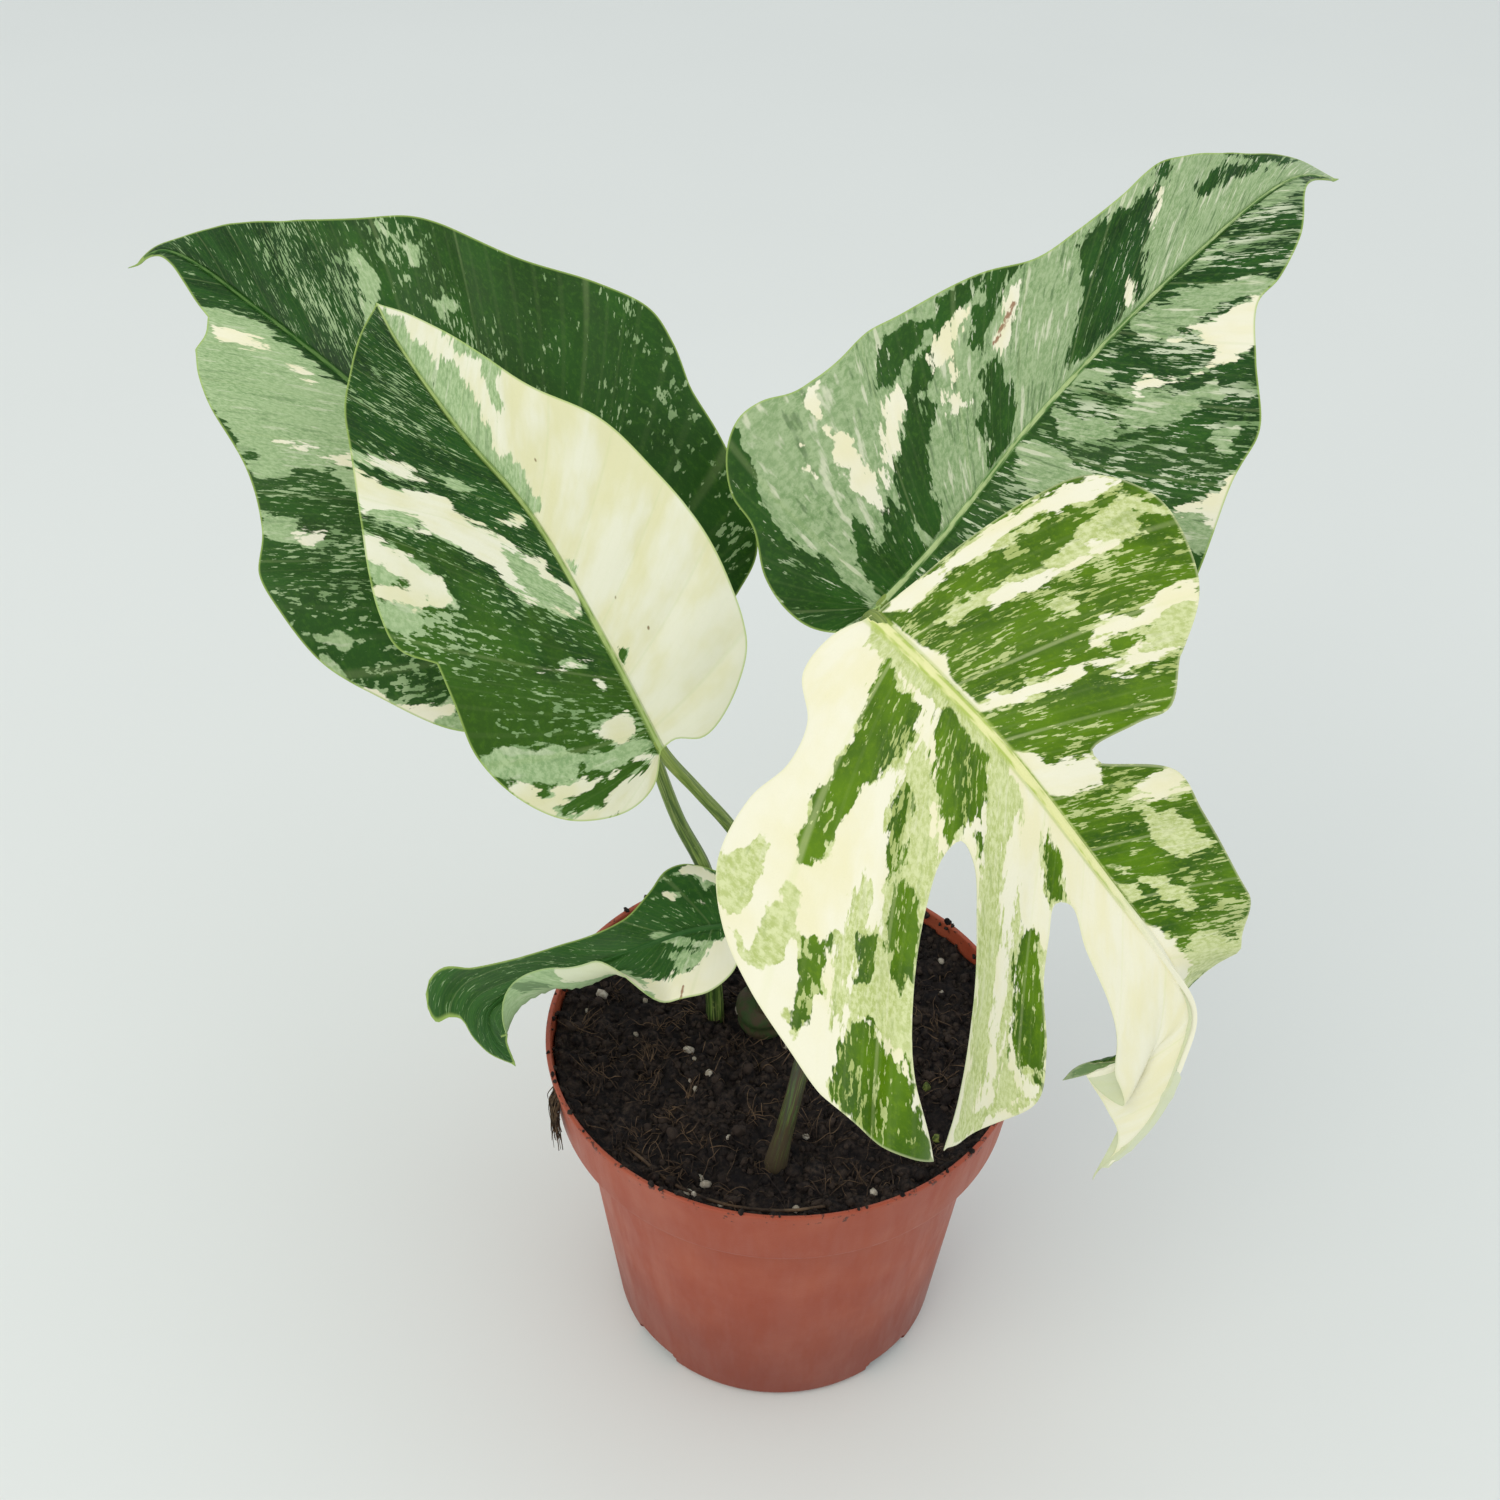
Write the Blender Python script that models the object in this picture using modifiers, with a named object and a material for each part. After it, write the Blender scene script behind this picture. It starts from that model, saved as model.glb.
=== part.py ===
"""A potted variegated monstera: a nursery pot with its soil, one stem and five leaves on their petioles.

Metres, +Z up. The origin is on the pot's axis, on the surface that the pot stands on. The design
numbers below are in millimetres, and MM turns them into metres where a shape is made.
"""

import math

import bmesh
import bpy
import numpy as np
from mathutils.geometry import delaunay_2d_cdt

MM = 0.001
GAP = 0.3  # clearance between two pieces that touch
PART_NAME = "potted_monstera"

# The pot, a thin moulded shell with a tall collar.
POT_HEIGHT = 95.0
POT_WALL = 1.4
RIM_RADIUS = 60.0
COLLAR_FOOT_RADIUS = 57.8
COLLAR_FOOT_Z = 77.0
BODY_TOP_RADIUS = 52.4
BODY_TOP_Z = 75.2
FOOT_RADIUS = 44.0
FOOT_ROUNDING = 2.0
POT_FLOOR = 2.0
TURNED_STEPS = 64
NOTCH_COUNT = 4
NOTCH_SIZE = (5.0, 15.0, 4.5)  # depth, width and height of a drain notch in the foot
DRAIN_COUNT = 5
DRAIN_RADIUS = 4.0
DRAIN_CIRCLE_RADIUS = 26.0

# The soil, which fills the pot to a finger's breadth below the rim.
SOIL_TOP_Z = 89.5
SOIL_DOME = 1.5

# The stem, a short stub that three of the petioles grow from.
STEM_X, STEM_Y = -5.0, 6.0
STEM_PROFILE = ((5.2, 77.0), (6.3, 90.0), (7.4, 97.0), (7.0, 100.0))

# Each leaf: its midrib from the attachment to the tip, the directions that its upper face looks in
# from base to tip, and the angle between midrib and side veins. The margin is given in the flat
# leaf as (along the midrib, sideways), one chain of smooth runs a side that meet at corners. A bend
# row is (share of the midrib, lift in degrees, curl in degrees for each 100 mm to the side), and it
# holds along the side vein that starts at that share.
LEAVES = {
    "back_left_leaf": {
        "midrib": ((-42, 18, 199), (-67, 30, 223), (-93, 42, 241), (-120, 56, 256), (-147, 72, 265), (-159, 78, 258)),
        "facing": ((0.15, -0.78, 0.6), (0.2, -0.8, 0.55), (0.2, -0.6, 0.75)),
        "sweep": 60,
        "right": (
            ((0, 0), (-5, 2), (-11, 9), (-13, 19), (-11, 29), (-7, 38), (5, 45), (18, 49), (30, 51), (41, 54),
             (50, 55), (60, 51), (72, 45), (90, 40), (96, 37), (105, 29), (115, 22), (129, 12), (138, 3),
             (145, 1), (153, 0)),
        ),
        "left": (
            ((0, 0), (-6, 7), (-7, 18), (-1, 30), (8, 40), (26, 48), (38, 52), (52, 51), (64, 47), (73, 38),
             (85, 30), (102, 23), (112, 14), (123, 8), (133, 3), (141, 1), (153, 0)),
        ),
        "bend_right": ((0, 8, -18), (0.5, 5, -12), (1, 0, 0)),
        "bend_left": ((0, 8, -18), (0.5, 5, -12), (1, 0, 0)),
        "spacing": 7.0,
    },
    "front_left_leaf": {
        "midrib": ((-28, -16, 194), (-40, -8, 216), (-56, 4, 239), (-71, 14, 252), (-86, 30, 264), (-92, 40, 268)),
        "facing": ((0.1, -0.78, 0.62), (0.1, -0.75, 0.65), (0.1, -0.6, 0.8)),
        "sweep": 60,
        "right": (
            ((0, 0), (1, 4), (-1, 9), (0, 13), (6, 21), (14, 27), (28, 29), (41, 29), (54, 26), (65, 23),
             (74, 18), (84, 15), (96, 11), (103, 8), (111, 4), (116.5, 0)),
        ),
        "left": (
            ((0, 0), (-6, 5), (-8, 12), (-6, 20), (-2, 26), (7, 32), (18, 35), (30, 34), (39, 33)),
            ((39, 33), (45, 38), (53, 38), (63, 35), (77, 28), (88, 21), (96, 17), (106, 9), (116.5, 0)),
        ),
        "bend_right": ((0, 20, -30), (0.5, 18, -25), (1, 10, 0)),
        "bend_left": ((0, 12, -20), (0.5, 10, -15), (1, 5, 0)),
        "spacing": 6.0,
    },
    "upper_right_leaf": {
        "midrib": ((17, 4, 219), (29, 14, 229), (50, 32, 251), (79, 54, 275), (104, 74, 288), (118, 86, 284)),
        "facing": ((-0.1, -0.78, 0.62), (-0.15, -0.75, 0.65), (-0.2, -0.5, 0.85)),
        "sweep": 60,
        "right": (
            ((0, 0), (-6, 6), (-9, 16), (-6, 28), (3, 39), (18, 46), (32, 48), (46, 47), (64, 42), (79, 38),
             (91, 27), (102, 18), (110, 17), (121, 13), (135, 3), (151, 0)),
        ),
        "left": (
            ((0, 0), (-8, 1), (-13, 7), (-14, 14), (-12, 22), (-6, 31), (-4, 39), (2, 46), (9, 49), (15, 48),
             (22, 44), (42, 41), (53, 36), (69, 29), (78, 23), (88, 21), (100, 20), (112, 20), (122, 15),
             (133, 8), (145, 3), (151, 0)),
        ),
        "bend_right": ((0, 12, -20), (0.5, 12, -15), (1, 5, 0)),
        "bend_left": ((0, 12, -20), (0.5, 12, -15), (1, 5, 0)),
        "spacing": 7.0,
    },
    "split_leaf": {
        "midrib": ((14, -30, 239), (25, -42, 235), (39, -57, 228), (59, -68, 207), (70, -74, 195),
                   (77, -77, 184), (76, -80, 173), (72, -82, 157), (63, -82, 140)),
        "facing": ((-0.1, -0.74, 0.66), (-0.1, -0.74, 0.66), (-0.1, -0.8, 0.55), (-0.15, -0.8, 0.5)),
        "sweep": 50,
        "right": (
            ((0, 0), (-3, 8), (-2, 17), (6, 23), (9, 31), (8, 41), (12, 54), (22, 62), (34, 66), (48, 68),
             (59, 69), (72, 67), (82, 63), (87, 61)),
            ((87, 61), (83, 59), (70, 52), (59, 42), (50, 31), (45, 22), (45, 17), (50, 18), (59, 25), (71, 35),
             (85, 46), (94, 52), (96, 58)),
            ((96, 58), (99, 50), (99, 37), (91, 29), (79, 21), (72, 15), (67, 10), (69, 8), (78, 11), (89, 14),
             (98, 17), (106, 21), (113, 22), (120, 17), (129, 9), (137, 2), (148, 0)),
        ),
        "left": (
            ((0, 0), (1, 8), (2, 21), (5, 37), (10, 48), (22, 53), (33, 50), (43, 43), (47, 34)),
            ((47, 34), (52, 27), (50, 21), (48, 12), (51, 12)),
            ((51, 12), (61, 22), (70, 22), (82, 21), (90, 19), (98, 15), (107, 13), (118, 17), (130, 21)),
            ((130, 21), (121, 10), (129, 6), (138, 3), (148, 0)),
        ),
        "bend_right": ((0, 0, -15), (0.5, -8, -15), (1, 0, 0)),
        "bend_left": ((0, 0, -15), (0.48, -5, -20), (0.57, -25, -60), (0.68, -150, -40), (1, -165, 0)),
        "spacing": 5.5,
    },
    "small_leaf": {
        "midrib": ((-12, -4, 133), (-23, -8, 134), (-34, -12, 132), (-46, -15, 128), (-58, -17, 125.5),
                   (-66, -19, 121), (-70, -21, 117), (-69, -22.5, 110), (-64, -24, 103)),
        "facing": ((0.1, -0.4, 0.9), (0, -0.55, 0.83), (-0.1, -0.6, 0.8), (-0.5, -0.7, 0.5)),
        "sweep": 70,
        "right": (
            ((0, 0), (-4, 6), (-3, 10), (1, 14), (8, 17), (14, 16), (18, 12), (25, 8), (40, 7), (49, 6),
             (61, 10), (68, 16), (72, 20), (73, 16), (70, 9), (70, 5), (75, 2), (81, 0)),
        ),
        "left": (
            ((0, 0), (-1, 4), (1, 8), (4, 12), (11, 16), (20, 15), (28, 14), (36, 14), (46, 14), (56, 12),
             (66, 7), (74, 3), (81, 0)),
        ),
        "bend_right": ((0, 0, 0), (1, 0, 0)),
        "bend_left": ((0, 0, 0), (0.2, 0, 0), (0.36, 0, 1200), (0.6, 0, 1300), (0.75, 0, 300), (1, 0, 0)),
        "spacing": 3.5,
    },
}
BLADE_THICKNESS = 0.8

# Each petiole: its route from foot to blade, and its radius at the foot, in the middle and at the top.
# The last route point is the leaf's attachment, and the tube stops just behind the blade there.
PETIOLES = {
    "back_left_petiole": {
        "leaf": "back_left_leaf",
        "route": ((-17, 7, 78), (-17.5, 7, 92), (-18.5, 8, 112), (-20, 10, 136), (-27, 13, 151), (-34, 17, 171)),
        "radii": (2.4, 1.9, 1.6),
    },
    "front_left_petiole": {
        "leaf": "front_left_leaf",
        "route": ((-8, 9, 101.3), (-6, 8, 125), (-7, 3, 145), (-14, -4, 164), (-21, -9, 178)),
        "radii": (1.9, 1.6, 1.4),
    },
    "upper_right_petiole": {
        "leaf": "upper_right_leaf",
        "route": ((-2.5, 9, 101.3), (1, 11, 130), (7, 11, 165), (13, 9, 197)),
        "radii": (2.1, 1.9, 1.7),
    },
    "split_petiole": {
        "leaf": "split_leaf",
        "route": ((-1.5, -40, 78), (-0.5, -40, 90), (1.3, -39, 101), (5, -36, 123), (9, -31, 160), (12, -25, 205)),
        "radii": (3.0, 2.2, 1.9),
    },
    "small_petiole": {
        "leaf": "small_leaf",
        "route": ((-5, 2, 101.3), (-6, -0, 112), (-9, -2, 122)),
        "radii": (1.7, 1.4, 1.2),
    },
}
PLANTED = ("back_left_petiole", "split_petiole")  # these stand in the soil, not on the stem

COLOURS = {
    "pot": ((0.34, 0.095, 0.05), 0.45),
    "soil": ((0.014, 0.009, 0.006), 0.95),
    "stem": ((0.11, 0.13, 0.04), 0.6),
    "petiole": ((0.12, 0.24, 0.045), 0.4),
    "leaf": ((0.08, 0.2, 0.05), 0.4),
}


def material(kind):
    """A Principled material in one of the part's plain colours."""
    found = bpy.data.materials.get(kind)
    if found:
        return found
    colour, roughness = COLOURS[kind]
    made = bpy.data.materials.new(kind)
    made.use_nodes = True
    shader = made.node_tree.nodes["Principled BSDF"]
    shader.inputs["Base Color"].default_value = (*colour, 1.0)
    shader.inputs["Roughness"].default_value = roughness
    return made


def add_object(name, data, collection, kind=None):
    obj = bpy.data.objects.new(name, data)
    collection.objects.link(obj)
    if kind:
        data.materials.append(material(kind))
    return obj


def smooth_through(points, steps=12):
    """A centripetal Catmull-Rom curve through the points."""
    p = np.asarray(points, float)
    p = np.vstack([2 * p[0] - p[1], p, 2 * p[-1] - p[-2]])
    out = []
    for i in range(len(p) - 3):
        a, b, c, d = p[i : i + 4]
        knots = np.cumsum([0.0] + [math.sqrt(np.linalg.norm(q - r)) for q, r in ((b, a), (c, b), (d, c))])
        t = np.linspace(knots[1], knots[2], steps, endpoint=False)[:, None]
        ab = a + (b - a) * (t - knots[0]) / (knots[1] - knots[0])
        bc = b + (c - b) * (t - knots[1]) / (knots[2] - knots[1])
        cd = c + (d - c) * (t - knots[2]) / (knots[3] - knots[2])
        abc = ab + (bc - ab) * (t - knots[0]) / (knots[2] - knots[0])
        bcd = bc + (cd - bc) * (t - knots[1]) / (knots[3] - knots[1])
        out.append(abc + (bcd - abc) * (t - knots[1]) / (knots[2] - knots[1]))
    out.append(p[-2:-1])
    return np.vstack(out)


def arc_lengths(points):
    return np.concatenate([[0.0], np.cumsum(np.linalg.norm(np.diff(points, axis=0), axis=1))])


def evenly_spaced(points, spacing):
    """The same curve with its points about one spacing apart, both ends kept."""
    along = arc_lengths(points)
    count = max(2, round(along[-1] / spacing) + 1)
    at = np.linspace(0, along[-1], count)
    return np.stack([np.interp(at, along, points[:, k]) for k in range(points.shape[1])], axis=-1)


def eased(rows, shares):
    """Each column of the rows after the first, interpolated with smooth steps between the rows."""
    rows = np.asarray(rows, float)
    shares = np.clip(shares, rows[0, 0], rows[-1, 0])
    i = np.clip(np.searchsorted(rows[:, 0], shares, side="right") - 1, 0, len(rows) - 2)
    t = (shares - rows[i, 0]) / (rows[i + 1, 0] - rows[i, 0])
    t = (t * t * (3 - 2 * t))[:, None]
    return rows[i, 1:] * (1 - t) + rows[i + 1, 1:] * t


def unit(vectors):
    return vectors / np.linalg.norm(vectors, axis=-1, keepdims=True)


class Midrib:
    """The midrib's curve with the blade's directions along it."""

    def __init__(self, leaf):
        self.curve = smooth_through(leaf["midrib"])
        self.along = arc_lengths(self.curve)
        self.length = self.along[-1]
        self.tangents = unit(np.gradient(self.curve, self.along, axis=0))
        facing = np.asarray(leaf["facing"], float)
        self.facing = np.column_stack([np.linspace(0, 1, len(facing)), facing])

    def frame(self, along):
        """Points, tangents, normals of the upper face and directions to the right, at these lengths."""
        inside = np.clip(along, 0, self.length)
        tangent = unit(np.stack([np.interp(inside, self.along, self.tangents[:, k]) for k in range(3)], axis=-1))
        point = np.stack([np.interp(inside, self.along, self.curve[:, k]) for k in range(3)], axis=-1)
        point = point + tangent * (along - inside)[:, None]
        facing = eased(self.facing, inside / self.length)
        normal = unit(facing - np.sum(facing * tangent, axis=-1, keepdims=True) * tangent)
        return point, tangent, normal, np.cross(tangent, normal)


def bent(leaf, flat):
    """Where the points of the flat leaf go when the blade bends along its side veins."""
    midrib = Midrib(leaf)
    sweep = math.radians(leaf["sweep"])
    along, side = flat[:, 0], flat[:, 1]
    ahead = np.abs(side) / math.tan(sweep)
    point, tangent, normal, right = midrib.frame(along - ahead)
    shares = (along - ahead) / midrib.length
    on_left = (side < 0)[:, None]
    bend = np.radians(np.where(on_left, eased(leaf["bend_left"], shares), eased(leaf["bend_right"], shares)))
    lift, curl = bend[:, 0], bend[:, 1] / 100
    curl = np.where(np.abs(curl) < 1e-6, 1e-6, curl)
    edge = lift + curl * np.abs(side)
    outward = np.sign(side) * (np.sin(edge) - np.sin(lift)) / curl
    upward = (np.cos(lift) - np.cos(edge)) / curl
    return point + tangent * ahead[:, None] + right * outward[:, None] + normal * upward[:, None]


def margin(leaf):
    """The flat leaf's closed outline: up the right side to the tip and back down the left side."""
    sides = []
    for name, sign in (("right", 1), ("left", -1)):
        runs = [evenly_spaced(smooth_through(run), leaf["spacing"])[:-1] for run in leaf[name]]
        side = np.vstack(runs + [np.array([leaf[name][-1][-1]], float)])
        sides.append(side * (1, sign))
    right, left = sides
    return np.vstack([right, left[-2:0:-1]])


def inside_outline(points, outline):
    """Whether each point is inside the closed outline, and how far it is from it."""
    a, b = outline, np.roll(outline, -1, axis=0)
    p = points[:, None]
    crosses = (a[:, 1] > p[..., 1]) != (b[:, 1] > p[..., 1])
    rise = np.where(b[:, 1] == a[:, 1], 1.0, b[:, 1] - a[:, 1])
    hit = a[:, 0] + (p[..., 1] - a[:, 1]) * (b[:, 0] - a[:, 0]) / rise
    inside = np.sum(crosses & (p[..., 0] < hit), axis=1) % 2 == 1
    edge = b - a
    share = np.clip(np.sum((p - a) * edge, axis=-1) / np.sum(edge**2, axis=-1), 0, 1)
    distance = np.linalg.norm(p - a - share[..., None] * edge, axis=-1).min(axis=1)
    return inside, distance


def blade_mesh(name, leaf):
    """The bent blade as one sheet of even triangles."""
    outline = margin(leaf)
    spacing = leaf["spacing"]
    low, high = outline.min(axis=0), outline.max(axis=0)
    rows = np.arange(math.floor(low[1] / spacing), math.ceil(high[1] / spacing) + 1)
    grid = []
    for row in rows:
        across = np.arange(low[0] + (row % 2) * spacing / 2, high[0], spacing)
        grid.append(np.column_stack([across, np.full(len(across), row * spacing)]))
    grid = np.vstack(grid)
    inside, distance = inside_outline(grid, outline)
    points = np.vstack([outline, grid[inside & (distance > 0.5 * spacing)]])
    count = len(outline)
    edges = [(i, (i + 1) % count) for i in range(count)]
    flat, _, faces, _, _, _ = delaunay_2d_cdt([tuple(p) for p in points], edges, [], 1, 1e-5)
    shape = bent(leaf, np.array([tuple(p) for p in flat])) * MM
    mesh = bpy.data.meshes.new(name)
    mesh.from_pydata(shape.tolist(), [], faces)
    mesh.shade_smooth()
    return mesh


def make_leaf(name, leaf, collection):
    """A blade: the bent sheet, thickened."""
    obj = add_object(name, blade_mesh(name, leaf), collection, "leaf")
    solidify = obj.modifiers.new("thickness", "SOLIDIFY")
    solidify.thickness = BLADE_THICKNESS * MM
    solidify.offset = 0.0
    return obj


def make_petiole(name, petiole, collection):
    """A leaf stalk: a round tube that tapers from its foot to the back of the blade."""
    route = np.asarray(petiole["route"], float)
    radii = petiole["radii"]
    attachment, tangent, normal, _ = Midrib(LEAVES[petiole["leaf"]]).frame(np.zeros(1))
    clearance = radii[-1] + BLADE_THICKNESS / 2 + GAP
    top = attachment[0] - normal[0] * clearance - tangent[0] * clearance
    path = evenly_spaced(smooth_through(np.vstack([route, top])), 8.0)
    curve = bpy.data.curves.new(name, "CURVE")
    curve.dimensions = "3D"
    curve.bevel_depth = MM
    curve.bevel_resolution = 2
    curve.use_fill_caps = True
    spline = curve.splines.new("POLY")
    spline.points.add(len(path) - 1)
    shares = np.linspace(0, 1, len(path))
    widths = np.interp(shares, np.linspace(0, 1, len(radii)), radii)
    for point, place, width in zip(spline.points, path, widths):
        point.co = (*(place * MM), 1.0)
        point.radius = width
    return add_object(name, curve, collection, "petiole")


def turned(name, profile, collection, kind=None):
    """A profile of (radius, height) turned round the Z axis, listed from inside out and down the outside."""
    mesh = bpy.data.meshes.new(name)
    mesh.from_pydata([(r * MM, 0, z * MM) for r, z in profile], [(i, i + 1) for i in range(len(profile) - 1)], [])
    obj = add_object(name, mesh, collection, kind)
    screw = obj.modifiers.new("turned", "SCREW")
    screw.steps = TURNED_STEPS
    screw.render_steps = TURNED_STEPS
    screw.use_merge_vertices = True
    screw.merge_threshold = 0.00001
    screw.use_smooth_shade = True
    return obj


def round_cutter(name, radius, low, high, place, collection):
    bm = bmesh.new()
    size = radius * MM
    bmesh.ops.create_cone(
        bm, cap_ends=True, segments=16, radius1=size, radius2=size, depth=(high - low) * MM
    )
    mesh = bpy.data.meshes.new(name)
    bm.to_mesh(mesh)
    bm.free()
    obj = add_object(name, mesh, collection)
    obj.location = (place[0] * MM, place[1] * MM, (low + high) / 2 * MM)
    return obj


def notch_cutter(name, angle, collection):
    depth, width, height = NOTCH_SIZE
    bm = bmesh.new()
    bmesh.ops.create_cube(bm, size=1.0)
    bmesh.ops.scale(bm, vec=(2 * depth * MM, width * MM, 2 * height * MM), verts=bm.verts)
    mesh = bpy.data.meshes.new(name)
    bm.to_mesh(mesh)
    bm.free()
    obj = add_object(name, mesh, collection)
    obj.location = (FOOT_RADIUS * MM * math.cos(angle), FOOT_RADIUS * MM * math.sin(angle), 0)
    obj.rotation_euler = (0, 0, angle)
    return obj


def cut(obj, cutter):
    cutter.hide_render = True
    cutter.display_type = "WIRE"
    boolean = obj.modifiers.new(cutter.name, "BOOLEAN")
    boolean.operation = "DIFFERENCE"
    boolean.object = cutter


def make_pot(collection, cutters):
    """The pot: rim, collar, step, tapered body and a floor with drain holes and notched foot."""
    inner_collar = COLLAR_FOOT_RADIUS - POT_WALL
    inner_body = BODY_TOP_RADIUS - POT_WALL
    profile = (
        (0, POT_FLOOR),
        (FOOT_RADIUS - POT_WALL - FOOT_ROUNDING, POT_FLOOR),
        (FOOT_RADIUS - POT_WALL, POT_FLOOR + FOOT_ROUNDING),
        (inner_body, BODY_TOP_Z + 1),
        (inner_collar, COLLAR_FOOT_Z + 2),
        (RIM_RADIUS - POT_WALL, POT_HEIGHT - 0.5),
        (RIM_RADIUS - POT_WALL * 0.7, POT_HEIGHT),
        (RIM_RADIUS - POT_WALL * 0.3, POT_HEIGHT),
        (RIM_RADIUS, POT_HEIGHT - 0.5),
        (COLLAR_FOOT_RADIUS, COLLAR_FOOT_Z),
        (COLLAR_FOOT_RADIUS - 0.6, COLLAR_FOOT_Z - 0.6),
        (BODY_TOP_RADIUS + 0.4, BODY_TOP_Z),
        (BODY_TOP_RADIUS, BODY_TOP_Z - 1),
        (FOOT_RADIUS, FOOT_ROUNDING),
        (FOOT_RADIUS - 0.6, 0.6),
        (FOOT_RADIUS - FOOT_ROUNDING, 0),
        (0, 0),
    )
    pot = turned("pot", profile, collection, "pot")
    for i in range(NOTCH_COUNT):
        cut(pot, notch_cutter(f"notch_cutter_{i}", math.radians(45 + i * 360 / NOTCH_COUNT), cutters))
    for i in range(DRAIN_COUNT):
        angle = math.tau * i / DRAIN_COUNT
        place = (DRAIN_CIRCLE_RADIUS * math.cos(angle), DRAIN_CIRCLE_RADIUS * math.sin(angle))
        cut(pot, round_cutter(f"drain_cutter_{i}", DRAIN_RADIUS, -1, POT_FLOOR + 1, place, cutters))
    return pot


def make_soil(collection, cutters):
    """The root ball: one solid that fills the pot, with sockets for what grows out of it."""
    wall = POT_WALL + GAP
    floor = POT_FLOOR + GAP
    notch_floor = NOTCH_SIZE[2] + GAP
    top_share = (SOIL_TOP_Z - COLLAR_FOOT_Z) / (POT_HEIGHT - COLLAR_FOOT_Z)
    top_radius = COLLAR_FOOT_RADIUS + (RIM_RADIUS - COLLAR_FOOT_RADIUS) * top_share - wall
    profile = (
        (0, SOIL_TOP_Z + SOIL_DOME),
        (top_radius * 0.5, SOIL_TOP_Z + SOIL_DOME * 0.8),
        (top_radius * 0.85, SOIL_TOP_Z + SOIL_DOME * 0.2),
        (top_radius - 0.3, SOIL_TOP_Z),
        (COLLAR_FOOT_RADIUS - wall - 0.2, COLLAR_FOOT_Z + 2 + GAP),
        (BODY_TOP_RADIUS - wall - 0.2, BODY_TOP_Z + 1),
        (FOOT_RADIUS - wall - 0.4, notch_floor),
        (FOOT_RADIUS - NOTCH_SIZE[0] - 1, floor),
        (0, floor),
    )
    soil = turned("soil", profile, collection, "soil")
    stem_radius = max(r for r, z in STEM_PROFILE if z < SOIL_TOP_Z + SOIL_DOME + 1)
    foot = STEM_PROFILE[0][1] - GAP
    cut(soil, round_cutter("stem_cutter", stem_radius + 3 * GAP, foot, POT_HEIGHT, (STEM_X, STEM_Y), cutters))
    for name in PLANTED:
        route = PETIOLES[name]["route"]
        middle = [(a + b) / 2 for a, b in zip(route[0], route[1])]
        radius = PETIOLES[name]["radii"][0] + 4 * GAP
        cut(soil, round_cutter(f"{name}_cutter", radius, route[0][2] - GAP, POT_HEIGHT, middle, cutters))
    return soil


def make_stem(collection):
    """The stem: a short turned stub, closed at both ends."""
    profile = [(0, STEM_PROFILE[-1][1]), *reversed(STEM_PROFILE), (0, STEM_PROFILE[0][1])]
    stem = turned("stem", profile, collection, "stem")
    stem.location = (STEM_X * MM, STEM_Y * MM, 0)
    return stem


def main():
    for obj in list(bpy.data.objects):
        bpy.data.objects.remove(obj)
    part = bpy.data.collections.new(PART_NAME)
    cutters = bpy.data.collections.new("cutters")
    for collection in (part, cutters):
        bpy.context.scene.collection.children.link(collection)
    make_pot(part, cutters)
    make_soil(part, cutters)
    make_stem(part)
    for name, petiole in PETIOLES.items():
        make_petiole(name, petiole, part)
    for name, leaf in LEAVES.items():
        make_leaf(name, leaf, part)


main()
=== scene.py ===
"""A potted variegated monstera: a nursery pot, its soil and litter, one stem and five marbled leaves.

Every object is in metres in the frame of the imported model, +Z up, with the origin on the pot's axis
at floor level. Design numbers are in millimetres and MM turns them into metres.
"""

import math

import bmesh
import bpy
import numpy as np
from bpy.props import FloatProperty, FloatVectorProperty, IntProperty, PointerProperty
from mathutils import Matrix, Vector, noise
from mathutils.geometry import delaunay_2d_cdt


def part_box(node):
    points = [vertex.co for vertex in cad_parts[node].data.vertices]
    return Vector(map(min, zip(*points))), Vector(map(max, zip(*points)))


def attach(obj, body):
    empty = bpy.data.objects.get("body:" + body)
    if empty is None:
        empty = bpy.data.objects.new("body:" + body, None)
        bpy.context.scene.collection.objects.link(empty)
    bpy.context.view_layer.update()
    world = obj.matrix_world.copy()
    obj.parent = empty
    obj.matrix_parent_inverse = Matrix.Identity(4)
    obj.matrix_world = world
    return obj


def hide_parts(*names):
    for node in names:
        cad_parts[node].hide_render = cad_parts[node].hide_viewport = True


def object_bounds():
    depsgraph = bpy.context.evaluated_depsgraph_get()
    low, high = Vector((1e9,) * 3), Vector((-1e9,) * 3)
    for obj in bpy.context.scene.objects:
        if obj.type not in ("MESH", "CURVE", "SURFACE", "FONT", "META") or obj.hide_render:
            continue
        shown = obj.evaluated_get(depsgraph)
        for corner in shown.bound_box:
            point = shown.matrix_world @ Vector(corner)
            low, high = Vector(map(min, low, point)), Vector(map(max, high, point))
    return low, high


bl_info = {
    "name": "Potted Monstera",
    "version": (1, 0, 0),
    "blender": (4, 5, 0),
    "location": "3D View > Sidebar > Monstera",
    "description": "Builds a variegated monstera in a nursery pot, piece by piece",
    "category": "Object",
}

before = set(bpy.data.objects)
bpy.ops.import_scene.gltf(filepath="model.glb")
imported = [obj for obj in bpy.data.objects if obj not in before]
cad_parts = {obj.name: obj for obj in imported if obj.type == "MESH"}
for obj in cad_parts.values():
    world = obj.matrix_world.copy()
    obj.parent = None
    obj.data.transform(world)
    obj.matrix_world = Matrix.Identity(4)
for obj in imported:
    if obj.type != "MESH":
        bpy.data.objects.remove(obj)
CAD_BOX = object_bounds()

MM = 0.001
BODY = "root"

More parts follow.
